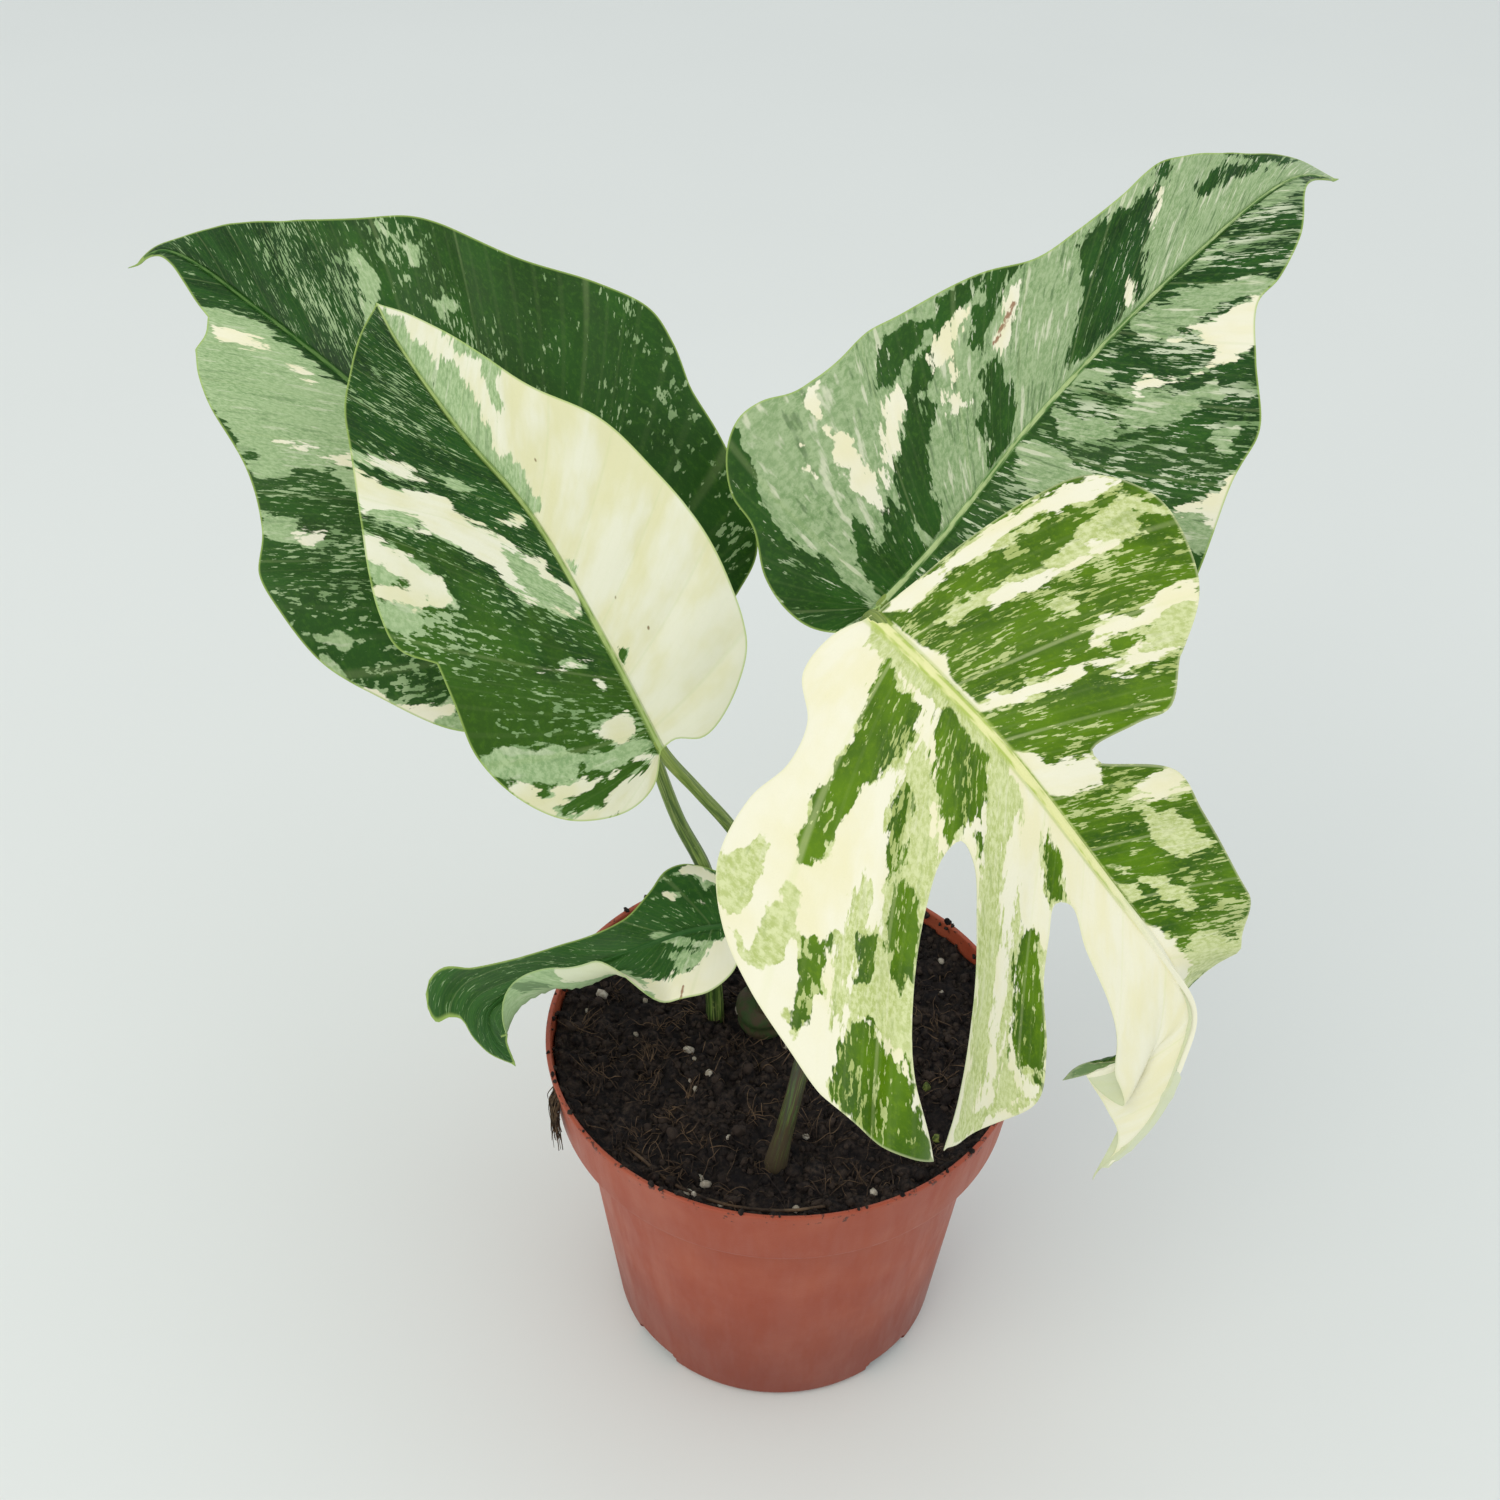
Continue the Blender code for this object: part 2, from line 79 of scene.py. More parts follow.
# The pot's turned shell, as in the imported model.
POT_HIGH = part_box("pot")[1]
POT_HEIGHT = POT_HIGH.z / MM
RIM_RADIUS = POT_HIGH.x / MM
POT_WALL = 1.4
COLLAR_FOOT_RADIUS = 57.8
COLLAR_FOOT_Z = 77.0
BODY_TOP_RADIUS = 52.4
BODY_TOP_Z = 75.2
FOOT_RADIUS = 44.0
POT_FLOOR = 2.0
POT_STEPS = 192
NOTCH_COUNT = 4
NOTCH_SIZE = (5.0, 15.0, 4.5)  # depth, width and height
DRAIN_COUNT = 5
DRAIN_RADIUS = 4.0
DRAIN_CIRCLE_RADIUS = 26.0

SOIL_TOP_Z = 89.5
SOIL_GAP = 0.25
SOIL_STEPS = 330
SOIL_SPACING = 1.1
STEM_X, STEM_Y = -5.0, 6.0
STEM_PROFILE = ((5.2, 77.0), (6.3, 90.0), (7.4, 97.0), (7.0, 100.0))  # radius and height

# The litter: the seed of its first kind's random draws, and the amounts and places that the soil's
# settings don't give.
FIRST_SEED = 11
TUFTS = 110
RIM_CRUMBS = 150
DRY_STRANDS = 90
DRY_TUFT_TURN = 205.0  # degrees round the rim
LONG_ROOT_TURNS = (226.0, 282.0)
LONG_ROOT_RADIUS = 53.0
GREEN_GRAINS = ((27, -28), (30, -22), (33, -36), (36, -14), (24, -10), (38, -30))

FAN_RADIUS = 16.0  # one radian of the fan behind the attachment counts as this many millimetres
VEIN_CURVE = 0.0035  # how fast a side vein turns towards the tip
VEIN_STEP = 12.0  # the common distance between two side veins
RIB_ROWS = (0.0, 0.45, 0.9, 1.4, 2.0)  # rows of points on either side of the midrib
RIB_END = 2.0  # how far before the tip those rows stop

# Each leaf: its midrib from the attachment to the tip, the directions that its upper face looks in
# from base to tip, and sweep, the angle between the midrib and the lines that the blade bends along.
# The margin is given in the flat leaf as (along the midrib, sideways), one chain of smooth runs a
# side that meet at corners. A bend row is (share of the midrib, lift in degrees, curl in degrees for
# each 100 mm to the side), and it holds along the line that starts at that share. angles are (share
# of the midrib, right, left) for the drawn side veins, and veins are their starts.
LEAVES = {
    "back_left_leaf": {
        "midrib": ((-42, 18, 199), (-67, 30, 223), (-93, 42, 241), (-120, 56, 256), (-147, 72, 265),
                   (-159, 78, 258)),
        "facing": ((0.15, -0.78, 0.6), (0.2, -0.8, 0.55), (0.2, -0.6, 0.75)),
        "sweep": 60,
        "right": (
            ((0, 0), (-5, 2), (-11, 9), (-13, 19), (-11, 29), (-7, 38), (5, 45), (18, 49), (30, 51), (41, 54),
             (50, 55), (60, 51), (72, 45), (90, 40), (96, 37), (105, 29), (115, 22), (129, 12), (138, 3),
             (145, 1), (153, 0)),
        ),
        "left": (
            ((0, 0), (-6, 7), (-7, 18), (-1, 30), (8, 40), (26, 48), (38, 52), (52, 51), (64, 47), (73, 38),
             (85, 30), (102, 24), (109, 20), (113.5, 16)),
            ((113.5, 16), (114, 12), (116.5, 8.5)),
            ((116.5, 8.5), (121, 7.5), (127, 5.5), (134, 3), (142, 1), (153, 0)),
        ),
        "bend_right": ((0, 8, -18), (0.5, 5, -12), (1, 0, 0)),
        "bend_left": ((0, 8, -18), (0.5, 5, -12), (1, 0, 0)),
        "angles": ((0, 104, 80), (0.1, 62, 52), (0.25, 44, 40), (0.45, 29, 31), (0.7, 23, 26), (1, 16, 16)),
        "veins": (-26, -8, 6, 22, 38, 55, 72, 88, 103, 118, 132, 145),
    },
    "front_left_leaf": {
        "midrib": ((-28, -16, 194), (-40, -8, 216), (-56, 4, 239), (-71, 14, 252), (-86, 30, 264),
                   (-92, 40, 268)),
        "facing": ((0.1, -0.78, 0.62), (0.1, -0.75, 0.65), (0.1, -0.6, 0.8)),
        "sweep": 60,
        "right": (
            ((0, 0), (1, 4), (-1, 9), (0, 13), (6, 21), (14, 27), (28, 29), (41, 29), (54, 26), (65, 23),
             (74, 18), (84, 15), (96, 11), (103, 8), (111, 4), (116.5, 0)),
        ),
        "left": (
            ((0, 0), (-6, 5), (-8, 12), (-6, 20), (-2, 26), (7, 32), (18, 35), (30, 34), (39, 33)),
            ((39, 33), (45, 38), (53, 38), (63, 35), (77, 28), (88, 21), (96, 17), (106, 9), (116.5, 0)),
        ),
        "bend_right": ((0, 20, -30), (0.5, 18, -25), (1, 10, 0)),
        "bend_left": ((0, 12, -20), (0.5, 10, -15), (1, 5, 0)),
        "angles": ((0, 80, 92), (0.1, 62, 60), (0.25, 56, 38), (0.45, 49, 30), (0.7, 45, 25), (1, 34, 14)),
        "veins": (-22, -8, 5, 17, 29, 42, 55, 68, 80, 91, 102, 111),
    },
    "upper_right_leaf": {
        "midrib": ((17, 4, 219), (29, 14, 229), (50, 32, 251), (79, 54, 275), (104, 74, 288), (118, 86, 284)),
        "facing": ((-0.1, -0.78, 0.62), (-0.15, -0.75, 0.65), (-0.2, -0.5, 0.85)),
        "sweep": 60,
        "right": (
            ((0, 0), (-6, 6), (-9, 16), (-6, 28), (3, 39), (18, 46), (32, 48), (46, 47), (64, 42), (79, 38),
             (91, 27), (102, 18), (110, 17), (121, 13), (135, 3), (151, 0)),
        ),
        "left": (
            ((0, 0), (-8, 1), (-13, 7), (-14, 14), (-12, 22), (-6, 31), (-4, 39), (2, 46), (9, 49), (15, 48),
             (22, 44), (42, 41), (53, 36), (69, 29), (78, 23), (88, 21), (100, 20), (112, 20), (122, 15),
             (133, 8), (145, 3), (151, 0)),
        ),
        "bend_right": ((0, 12, -20), (0.5, 12, -15), (1, 5, 0)),
        "bend_left": ((0, 12, -20), (0.5, 12, -15), (1, 5, 0)),
        "angles": ((0, 104, 102), (0.1, 88, 66), (0.25, 78, 42), (0.45, 64, 28), (0.7, 45, 25), (1, 22, 18)),
        "veins": (-26, -10, 3, 16, 31, 46, 62, 78, 93, 108, 122, 136, 147),
    },
    "split_leaf": {
        "midrib": ((14, -30, 239), (25, -42, 235), (39, -57, 228), (59, -68, 207), (70, -74, 195),
                   (77, -77, 184), (76, -80, 173), (72, -82, 157), (63, -82, 140)),
        "facing": ((-0.1, -0.74, 0.66), (-0.1, -0.74, 0.66), (-0.1, -0.8, 0.55), (-0.15, -0.8, 0.5)),
        "sweep": 50,
        "right": (
            ((0, 0), (-3, 8), (-2, 17), (6, 23), (9, 31), (8, 41), (12, 54), (22, 62), (34, 66), (48, 68),
             (59, 69), (72, 66.5), (80, 62.5), (84.6, 59.6)),
            ((84.6, 59.6), (80, 57.2), (70, 52), (59, 42), (50, 31), (45, 22), (45, 17), (50, 18), (59, 25),
             (71, 35), (82, 46), (86, 52.5), (86.5, 57)),
            ((86.5, 57), (93.5, 54.2), (98, 47), (98.5, 37), (91, 29), (79, 21), (72, 15), (67, 10), (69, 8),
             (78, 11), (89, 14), (98, 17), (106, 21), (113, 22), (120, 17), (129, 9), (137, 2), (148, 0)),
        ),
        "left": (
            ((0, 0), (1, 8), (2, 21), (5, 37), (10, 48), (22, 53), (33, 50), (43, 43), (47, 34)),
            ((47, 34), (52, 27), (50, 21), (48, 12), (51, 12)),
            ((51, 12), (61, 22), (70, 22), (82, 21), (90, 19), (98, 15), (107, 13), (118, 17), (130, 21)),
            ((130, 21), (121, 10), (129, 6), (138, 3), (148, 0)),
        ),
        "bend_right": ((0, 0, -15), (0.5, -8, -15), (1, 0, 0)),
        "bend_left": ((0, 0, -15), (0.48, -5, -20), (0.57, -25, -60), (0.68, -150, -40), (1, -165, 0)),
        "angles": ((0, 98, 88), (0.1, 68, 74), (0.25, 48, 66), (0.45, 38, 66), (0.7, 31, 60), (1, 24, 42)),
        "veins": (-16, -4, 9, 22, 36, 50, 62, 74, 88, 104, 120, 136),
    },
    "small_leaf": {
        "midrib": ((-12, -4, 133), (-23, -8, 134), (-34, -12, 132), (-46, -15, 128), (-58, -17, 125.5),
                   (-66, -19, 121), (-70, -21, 117), (-69, -22.5, 110), (-64, -24, 103)),
        "facing": ((0.1, -0.4, 0.9), (0, -0.55, 0.83), (-0.1, -0.6, 0.8), (-0.5, -0.7, 0.5)),
        "sweep": 70,
        "right": (
            ((0, 0), (-4, 6), (-3, 10), (1, 14), (8, 17), (14, 16), (18, 12), (25, 8), (40, 7), (49, 6),
             (56, 7.5), (62, 10.5), (67, 15.5), (70, 17), (71, 14), (69, 9.5), (68.5, 6.5), (72, 5),
             (77, 2.5), (81, 0)),
        ),
        "left": (
            ((0, 0), (-1, 4), (1, 8), (4, 12), (11, 16), (20, 15), (28, 14), (36, 14), (46, 14), (56, 12),
             (66, 7), (74, 3), (81, 0)),
        ),
        "bend_right": ((0, 0, 0), (1, 0, 0)),
        "bend_left": ((0, 0, 0), (0.2, 0, 0), (0.36, 0, 1200), (0.6, 0, 1300), (0.75, 0, 300), (1, 0, 0)),
        "angles": ((0, 90, 90), (0.12, 48, 48), (0.3, 22, 26), (0.55, 14, 18), (1, 9, 12)),
        "veins": (-14, -4, 6, 16, 26, 36, 46, 56, 66, 76),
    },
}

# Marbling, painted in this order in each flat leaf: S turns the blade sage, C cream and D green again,
# and F gathers pale flecks. Each patch is an outline of (along the midrib, sideways), right is positive.
PATCHES = {
    "back_left_leaf": (
        ("F", ((124, 16), (110, 26), (100, 33), (90, 33), (82, 28), (77, 23), (88, 18), (85, 7), (85, 0),
              (92, 0), (101, 0), (109, 1), (118, 7))),
        ("F", ((81, -31), (74, -21), (66, -14), (40, -33), (14, -34), (14, -43), (24, -49), (34, -51),
              (48, -51), (58, -49), (70, -41))),
        ("S", ((118, -7), (115, -5), (109, -3), (103, -2), (95, -2), (88, -2), (80, -1), (73, -4),
              (65, -12), (73, -18), (77, -23), (77, -26), (82, -30), (86, -29), (91, -26), (97, -25),
              (104, -23), (111, -18), (114, -13), (119, -10))),
        ("C", ((116, -9), (113, -9), (111, -8), (109, -7), (104, -6), (100, -5), (103, -7), (107, -9),
              (110, -11), (114, -14))),
        ("C", ((85, -21), (80, -18), (74, -16), (70, -13), (67, -14), (70, -16), (76, -18), (80, -20))),
        ("C", ((95, -6), (92, -5), (87, -5), (88, -6), (91, -6))),
        ("D", ((90, -26), (87, -25), (84, -25), (85, -27), (87, -29))),
        ("S", ((76, -35), (72, -33), (68, -32), (65, -35), (67, -37), (70, -38), (74, -38))),
        ("C", ((68, -35), (64, -32), (61, -30), (61, -34), (65, -35))),
        ("S", ((70, -18), (66, -14), (63, -17), (65, -19))),
        ("S", ((47, -52), (42, -47), (37, -42), (35, -44), (37, -47), (42, -50))),
        ("S", ((38, -51), (32, -50), (27, -48), (21, -46), (16, -44), (16, -47), (23, -51), (32, -53))),
        ("C", ((29, -49), (26, -47), (20, -46), (16, -43), (14, -38), (13, -36), (5, -39), (10, -45),
              (19, -47), (27, -50))),
        ("S", ((12, -44), (12, -40), (10, -36), (7, -37), (7, -42), (10, -44))),
        ("S", ((101, 23), (97, 22), (93, 22), (89, 18), (86, 14), (86, 10), (89, 13), (91, 16), (94, 17),
              (96, 20), (100, 21))),
        ("S", ((101, 31), (97, 32), (91, 32), (86, 30), (88, 29), (94, 30), (98, 30))),
        ("S", ((79, 26), (78, 28), (75, 28), (76, 25), (73, 24), (76, 24), (79, 25))),
        ("F", ((37, 45), (34, 51), (19, 47), (10, 40), (11, 33), (20, 34), (29, 38))),
        ("F", ((57, 51), (53, 55), (47, 48), (50, 47))),
        ("S", ((45, 49), (42, 48), (39, 45), (40, 45))),
        ("F", ((1, 36), (0, 42), (-3, 39), (-4, 33))),
        ("S", ((106, -14), (116, -8), (118, -12), (114, -22), (104, -27))),
    ),
    "front_left_leaf": (
        ("F", ((114, 0), (90, 0), (72, -1), (57, 0), (45, 0), (31, -1), (21, 0), (8, 0), (2, 0), (-3, -23),
              (9, -33), (25, -35), (40, -33), (51, -38), (71, -32), (89, -20), (98, -14), (111, -3))),
        ("C", ((-14, 0), (118, 0), (118, 40), (-14, 40))),
        ("C", ((-14, 0), (-4, 0), (4, -5), (2, -12), (-12, -14))),
        ("S", ((115, 1), (108, 3), (101, 4), (95, 4), (93, 4), (95, 6), (93, 7), (88, 7), (83, 7), (77, 6),
              (72, 4), (66, 4), (63, 4), (60, 3), (57, 3), (56, 0), (62, 0), (73, 0), (89, 0), (102, 0),
              (113, 0))),
        ("S", ((99, 10), (94, 13), (89, 15), (83, 17), (81, 15), (82, 12), (85, 12), (89, 13), (91, 11),
              (95, 9))),
        ("S", ((87, 12), (81, 12), (77, 11), (75, 8), (78, 9), (83, 10))),
        ("S", ((45, 1), (44, 3), (41, 1), (42, 1))),
        ("D", ((24, 2), (22, 3), (20, 1), (22, 1))),
        ("C", ((87, -22), (84, -21), (80, -19), (74, -15), (70, -12), (66, -13), (61, -11), (56, -8),
              (51, -6), (47, -3), (43, -4), (38, 0), (33, -2), (37, -6), (41, -10), (46, -12), (50, -13),
              (56, -15), (60, -18), (65, -21), (71, -22), (77, -27), (82, -26))),
        ("S", ((77, -26), (74, -22), (69, -20), (65, -20), (65, -23), (68, -25), (73, -26))),
        ("S", ((54, -9), (48, -6), (42, -3), (36, -1), (35, -3), (39, -8), (46, -11))),
        ("C", ((89, -21), (86, -18), (83, -15), (80, -13), (75, -12), (79, -16), (83, -18), (87, -20))),
        ("C", ((74, -31), (66, -29), (62, -27), (58, -26), (54, -24), (50, -23), (47, -23), (49, -26),
              (53, -28), (57, -30), (61, -33), (66, -35))),
        ("S", ((66, -35), (62, -32), (58, -30), (56, -32), (58, -35), (62, -37))),
        ("C", ((60, -37), (57, -33), (54, -30), (51, -29), (51, -31), (55, -35), (58, -38))),
        ("S", ((57, -38), (54, -33), (51, -30), (48, -32), (47, -35), (51, -38), (54, -39))),
        ("D", ((76, -28), (72, -25), (66, -23), (61, -20), (56, -17), (51, -12), (50, -14), (54, -19),
              (59, -23), (63, -26), (69, -29))),
        ("C", ((52, -25), (51, -23), (47, -23), (47, -24), (50, -26))),
        ("C", ((21, -6), (19, -4), (17, -5), (18, -6))),
        ("C", ((28, -16), (27, -12), (26, -8), (24, -5), (25, -9), (26, -12))),
        ("S", ((74, -9), (71, -7), (68, -6), (69, -9), (72, -10))),
        ("C", ((59, -6), (57, -2), (54, -3), (57, -5))),
        ("S", ((17, -34), (17, -29), (14, -26), (12, -20), (8, -17), (5, -16), (4, -20), (6, -26),
              (9, -30), (14, -34))),
        ("C", ((11, -32), (5, -27), (4, -23), (3, -18), (2, -14), (0, -17), (1, -21), (1, -26), (-1, -26),
              (0, -29), (7, -32))),
        ("S", ((8, -17), (6, -9), (5, -4), (2, 0), (1, -5), (1, -12), (4, -17))),
        ("C", ((11, -12), (12, -8), (11, -3), (9, -2), (6, -4), (6, -7), (8, -9), (10, -10))),
        ("C", ((2, -7), (0, -2), (-1, 0), (-6, 0), (-8, -5), (-7, -11), (-8, -18), (-6, -23), (-3, -27),
              (-3, -23), (-4, -17), (-3, -10), (-2, -5))),
        ("D", ((0, -27), (-1, -22), (-3, -17), (-2, -9), (-2, -4), (0, -3), (2, -7), (1, -12), (0, -18),
              (0, -21), (1, -26))),
        ("D", ((7, -29), (5, -25), (3, -24), (3, -27))),
    ),
    "upper_right_leaf": (
        ("S", ((-16, 0), (150, 0), (150, -52), (-16, -52))),
        ("D", ((6, -50), (8, -48), (5, -43), (0, -35), (-2, -28), (-2, -20), (0, -12), (-1, -3), (-2, 0),
              (-13, -4), (-16, -11), (-13, -22), (-6, -35), (-2, -45))),
        ("D", ((11, -18), (11, -15), (9, -9), (13, -10), (15, -14), (18, -18), (19, -14), (19, -9),
              (17, -4), (17, 0), (12, 0), (5, 0), (2, 0), (2, -6), (4, -11), (7, -14))),
        ("D", ((37, -24), (41, -22), (43, -18), (35, -15), (30, -12), (26, -8), (25, -4), (22, -2),
              (19, -1), (19, -5), (20, -12), (23, -18), (27, -21), (32, -22))),
        ("D", ((59, -33), (66, -30), (71, -29), (70, -26), (66, -27), (61, -28), (56, -27), (52, -25),
              (47, -23), (43, -22), (38, -23), (41, -25), (47, -27), (53, -28))),
        ("D", ((41, -35), (47, -36), (52, -34), (55, -31), (58, -31), (56, -29), (52, -29), (46, -30),
              (38, -29), (35, -31), (37, -34))),
        ("D", ((71, -29), (78, -24), (72, -25), (67, -24), (64, -22), (56, -18), (56, -21), (61, -24),
              (65, -25), (67, -27))),
        ("D", ((57, -15), (56, -12), (55, -7), (51, -4), (46, -1), (40, -1), (38, -1), (42, -4), (43, -9),
              (41, -9), (44, -10), (49, -11), (52, -15))),
        ("D", ((85, -19), (92, -19), (100, -18), (109, -18), (107, -15), (101, -12), (97, -9), (91, -4),
              (88, -2), (83, -1), (78, -1), (70, -1), (65, -2), (73, -7), (79, -10), (83, -15))),
        ("D", ((107, -19), (113, -21), (118, -19), (110, -17))),
        ("D", ((114, -11), (119, -11), (125, -10), (128, -7), (129, -5), (122, -7), (116, -8), (113, -9))),
        ("D", ((125, -15), (131, -9), (142, -6), (134, -4), (126, -10))),
        ("C", ((59, -18), (64, -19), (70, -23), (72, -22), (68, -19), (63, -16), (59, -15))),
        ("C", ((46, -19), (51, -21), (47, -17), (46, -13), (43, -13), (41, -15))),
        ("C", ((20, -34), (21, -30), (21, -24), (19, -18), (16, -13), (14, -17), (14, -21), (17, -27))),
        ("C", ((49, -25), (57, -27), (62, -27), (60, -25), (54, -23), (47, -22))),
        ("C", ((23, -43), (26, -42), (21, -37), (21, -40))),
        ("C", ((14, -36), (14, -33), (10, -28), (9, -30))),
        ("C", ((88, -6), (88, -4), (85, -1), (84, -3))),
        ("C", ((102, -13), (108, -16), (104, -13), (100, -10))),
        ("C", ((33, -28), (39, -27), (37, -23), (26, -19), (20, -16), (20, -20), (27, -24))),
        ("F", ((0, 1), (150, 1), (150, 45), (-5, 52), (-14, 20))),
        ("S", ((100, 2), (113, 2), (135, 0), (135, 4), (123, 4), (113, 2), (106, 3), (98, 2))),
        ("S", ((82, 0), (88, 2), (96, 6), (106, 12), (110, 17), (103, 17), (99, 14), (91, 12), (81, 8),
              (80, 5))),
        ("C", ((82, 10), (88, 12), (95, 15), (104, 17), (104, 18), (97, 25), (89, 24), (85, 22), (79, 20),
              (73, 15), (70, 12), (73, 12), (77, 17), (85, 21), (89, 19), (87, 14))),
        ("D", ((74, 4), (81, 8), (88, 14), (89, 19), (85, 21), (78, 18), (73, 12), (70, 5))),
        ("D", ((84, 23), (89, 23), (97, 25), (86, 35), (83, 27))),
        ("S", ((68, 6), (71, 13), (75, 20), (82, 24), (80, 27), (73, 24), (67, 23), (62, 18), (64, 12),
              (67, 13))),
        ("S", ((67, 0), (70, 5), (67, 8), (65, 3), (62, 1))),
        ("S", ((46, 0), (50, 7), (49, 13), (51, 22), (53, 27), (48, 20), (42, 16), (39, 9), (41, 4))),
        ("S", ((57, 1), (58, 6), (61, 14), (59, 16), (53, 12), (52, 6))),
        ("S", ((71, 32), (77, 34), (70, 38), (66, 36))),
        ("C", ((52, 35), (56, 39), (61, 41), (67, 41), (64, 45), (54, 45), (54, 40))),
        ("S", ((50, 27), (52, 35), (55, 40), (55, 46), (50, 48), (48, 42), (50, 33))),
    ),
    "split_leaf": (
        ("C", ((-8, 0), (150, 0), (150, 75), (-8, 75))),
        ("S", ((0, 0), (40, 0), (42, 4), (4, 4))),
        ("D", ((10, 9), (8, 3), (16, 6), (22, 5), (23, 9), (25, 14), (25, 18), (24, 23), (25, 28),
              (27, 35), (28, 40), (25, 43), (21, 41), (20, 36), (17, 31), (16, 24), (15, 18))),
        ("D", ((23, 5), (25, 2), (31, 3), (37, 3), (42, 7), (45, 12), (48, 13), (51, 17), (49, 17),
              (44, 13), (44, 17), (45, 21), (40, 18), (34, 14), (28, 9))),
        ("S", ((25, 10), (27, 10), (39, 19), (46, 22), (49, 28), (55, 34), (63, 44), (70, 52), (60, 53),
              (52, 55), (49, 55), (48, 50), (46, 42), (40, 34), (35, 28), (30, 22))),
        ("D", ((30, 23), (28, 17), (33, 20), (35, 24), (41, 29), (47, 31), (52, 34), (56, 38), (58, 44),
              (53, 44), (47, 40), (43, 35), (37, 31))),
        ("D", ((35, 52), (40, 47), (43, 52), (46, 56), (47, 62), (47, 66), (43, 63), (40, 58))),
        ("D", ((43, 44), (45, 42), (51, 47), (49, 50))),
        ("D", ((52, 55), (55, 52), (61, 53), (69, 52), (73, 54), (79, 57), (86, 60), (83, 62), (76, 66),
              (66, 69), (58, 67), (55, 62))),
        ("S", ((12, 54), (14, 48), (16, 44), (20, 49), (22, 55), (22, 59), (17, 59))),
        ("S", ((28, 59), (26, 53), (26, 44), (30, 46), (33, 52), (36, 57), (34, 61), (30, 64))),
        ("S", ((23, 61), (26, 60), (31, 63), (29, 64))),
        ("S", ((43, 51), (40, 44), (36, 38), (34, 34), (38, 36), (42, 42), (46, 49), (50, 56), (52, 61))),
        ("S", ((37, 4), (43, 2), (48, 4), (55, 11), (69, 19), (74, 25), (83, 33), (96, 38), (96, 44),
              (96, 50), (92, 55), (85, 47), (76, 39), (67, 31), (58, 25), (51, 18), (48, 13))),
        ("C", ((54, 13), (47, 6), (48, 4), (59, 14), (71, 24), (82, 34), (94, 44), (92, 47), (83, 37),
              (70, 27))),
        ("D", ((67, 17), (70, 16), (76, 19), (83, 23), (90, 28), (97, 34), (93, 34), (92, 35), (86, 34),
              (78, 27), (71, 23))),
        ("D", ((52, 2), (56, 3), (61, 4), (68, 8), (67, 11), (64, 10), (58, 7))),
        ("S", ((97, 41), (97, 37), (97, 34), (98, 37), (99, 41))),
        ("F", ((7, 13), (20, 2), (37, 3), (52, 16), (47, 26), (68, 49), (86, 60), (65, 70), (43, 64),
              (20, 41))),
        ("F", ((-2, -1), (150, -1), (150, -56), (-2, -56))),
        ("C", ((1, -2), (2, -12), (3, -22), (5, -31), (7, -39), (11, -49), (15, -50), (14, -46), (11, -40),
              (8, -33), (7, -25), (5, -16), (5, -6))),
        ("S", ((7, -25), (8, -33), (11, -40), (14, -46), (14, -41), (13, -33), (11, -25), (9, -19),
              (7, -12))),
        ("D", ((5, -14), (8, -23), (11, -32), (11, -40), (14, -45), (17, -45), (16, -38), (15, -30),
              (12, -20), (8, -8), (7, -5))),
        ("S", ((10, -11), (13, -19), (16, -27), (17, -35), (17, -43), (18, -50), (28, -53), (31, -50),
              (24, -43), (21, -35), (20, -28), (17, -20), (13, -8), (9, -3))),
        ("D", ((21, -48), (26, -52), (30, -52), (31, -49), (25, -46))),
        ("C", ((14, -18), (19, -29), (21, -37), (23, -41), (25, -41), (22, -34), (20, -25), (16, -16))),
        ("C", ((40, -46), (38, -40), (38, -35), (37, -29), (38, -29), (40, -36), (41, -44))),
        ("C", ((38, -38), (40, -42), (43, -43), (46, -40), (46, -34), (44, -28), (41, -23), (40, -28),
              (41, -34))),
        ("S", ((40, -37), (43, -42), (46, -40), (46, -34), (43, -31), (41, -29))),
        ("C", ((34, -24), (34, -29), (36, -32), (37, -30), (36, -26))),
        ("S", ((24, -23), (23, -26), (26, -29), (28, -26), (26, -23))),
        ("C", ((4, -2), (11, -2), (17, -4), (20, -2), (28, -2), (32, -11), (37, -21), (41, -28), (42, -27),
              (38, -20), (34, -10), (31, -3), (29, -1), (19, -1), (5, -1))),
        ("C", ((39, -1), (41, -3), (45, -5), (48, -11), (50, -12), (53, -10), (52, -4), (49, -1), (44, -1))),
        ("C", ((58, -13), (58, -17), (59, -22), (65, -22), (63, -17), (59, -13))),
        ("C", ((34, -1), (40, -1), (47, -1), (55, -1), (64, -1), (76, -1), (89, -1), (99, -1), (86, -1),
              (74, -1), (62, -1), (52, -1), (42, -1), (31, -1))),
        ("S", ((70, -1), (73, -5), (76, -4), (75, -1))),
        ("S", ((87, -8), (91, -12), (96, -15), (101, -15), (103, -14), (95, -5), (88, -4))),
        ("S", ((91, -16), (93, -19), (98, -17), (103, -17), (95, -14))),
        ("C", ((82, -1), (89, -4), (98, -8), (92, -4), (85, -1))),
        ("S", ((61, -13), (70, -20), (77, -20), (75, -14), (68, -11))),
        ("S", ((67, -2), (72, -7), (77, -10), (86, -11), (80, -7), (72, -4))),
        ("S", ((85, -2), (95, -10), (94, -15), (103, -17), (99, -1), (95, -4))),
        ("D", ((80, -1), (82, -4), (86, -3), (92, -4), (88, -1))),
        ("C", ((78, 0), (88, -4), (112, -8), (150, -8), (150, 0), (78, 0))),
    ),
    "small_leaf": (
        ("F", ((0, -16), (60, -16), (60, 16), (0, 16))),
        ("C", ((23, -10), (18, -9), (11, -9), (9, -6), (5, -4), (2, -4), (0, -7), (3, -12), (9, -16),
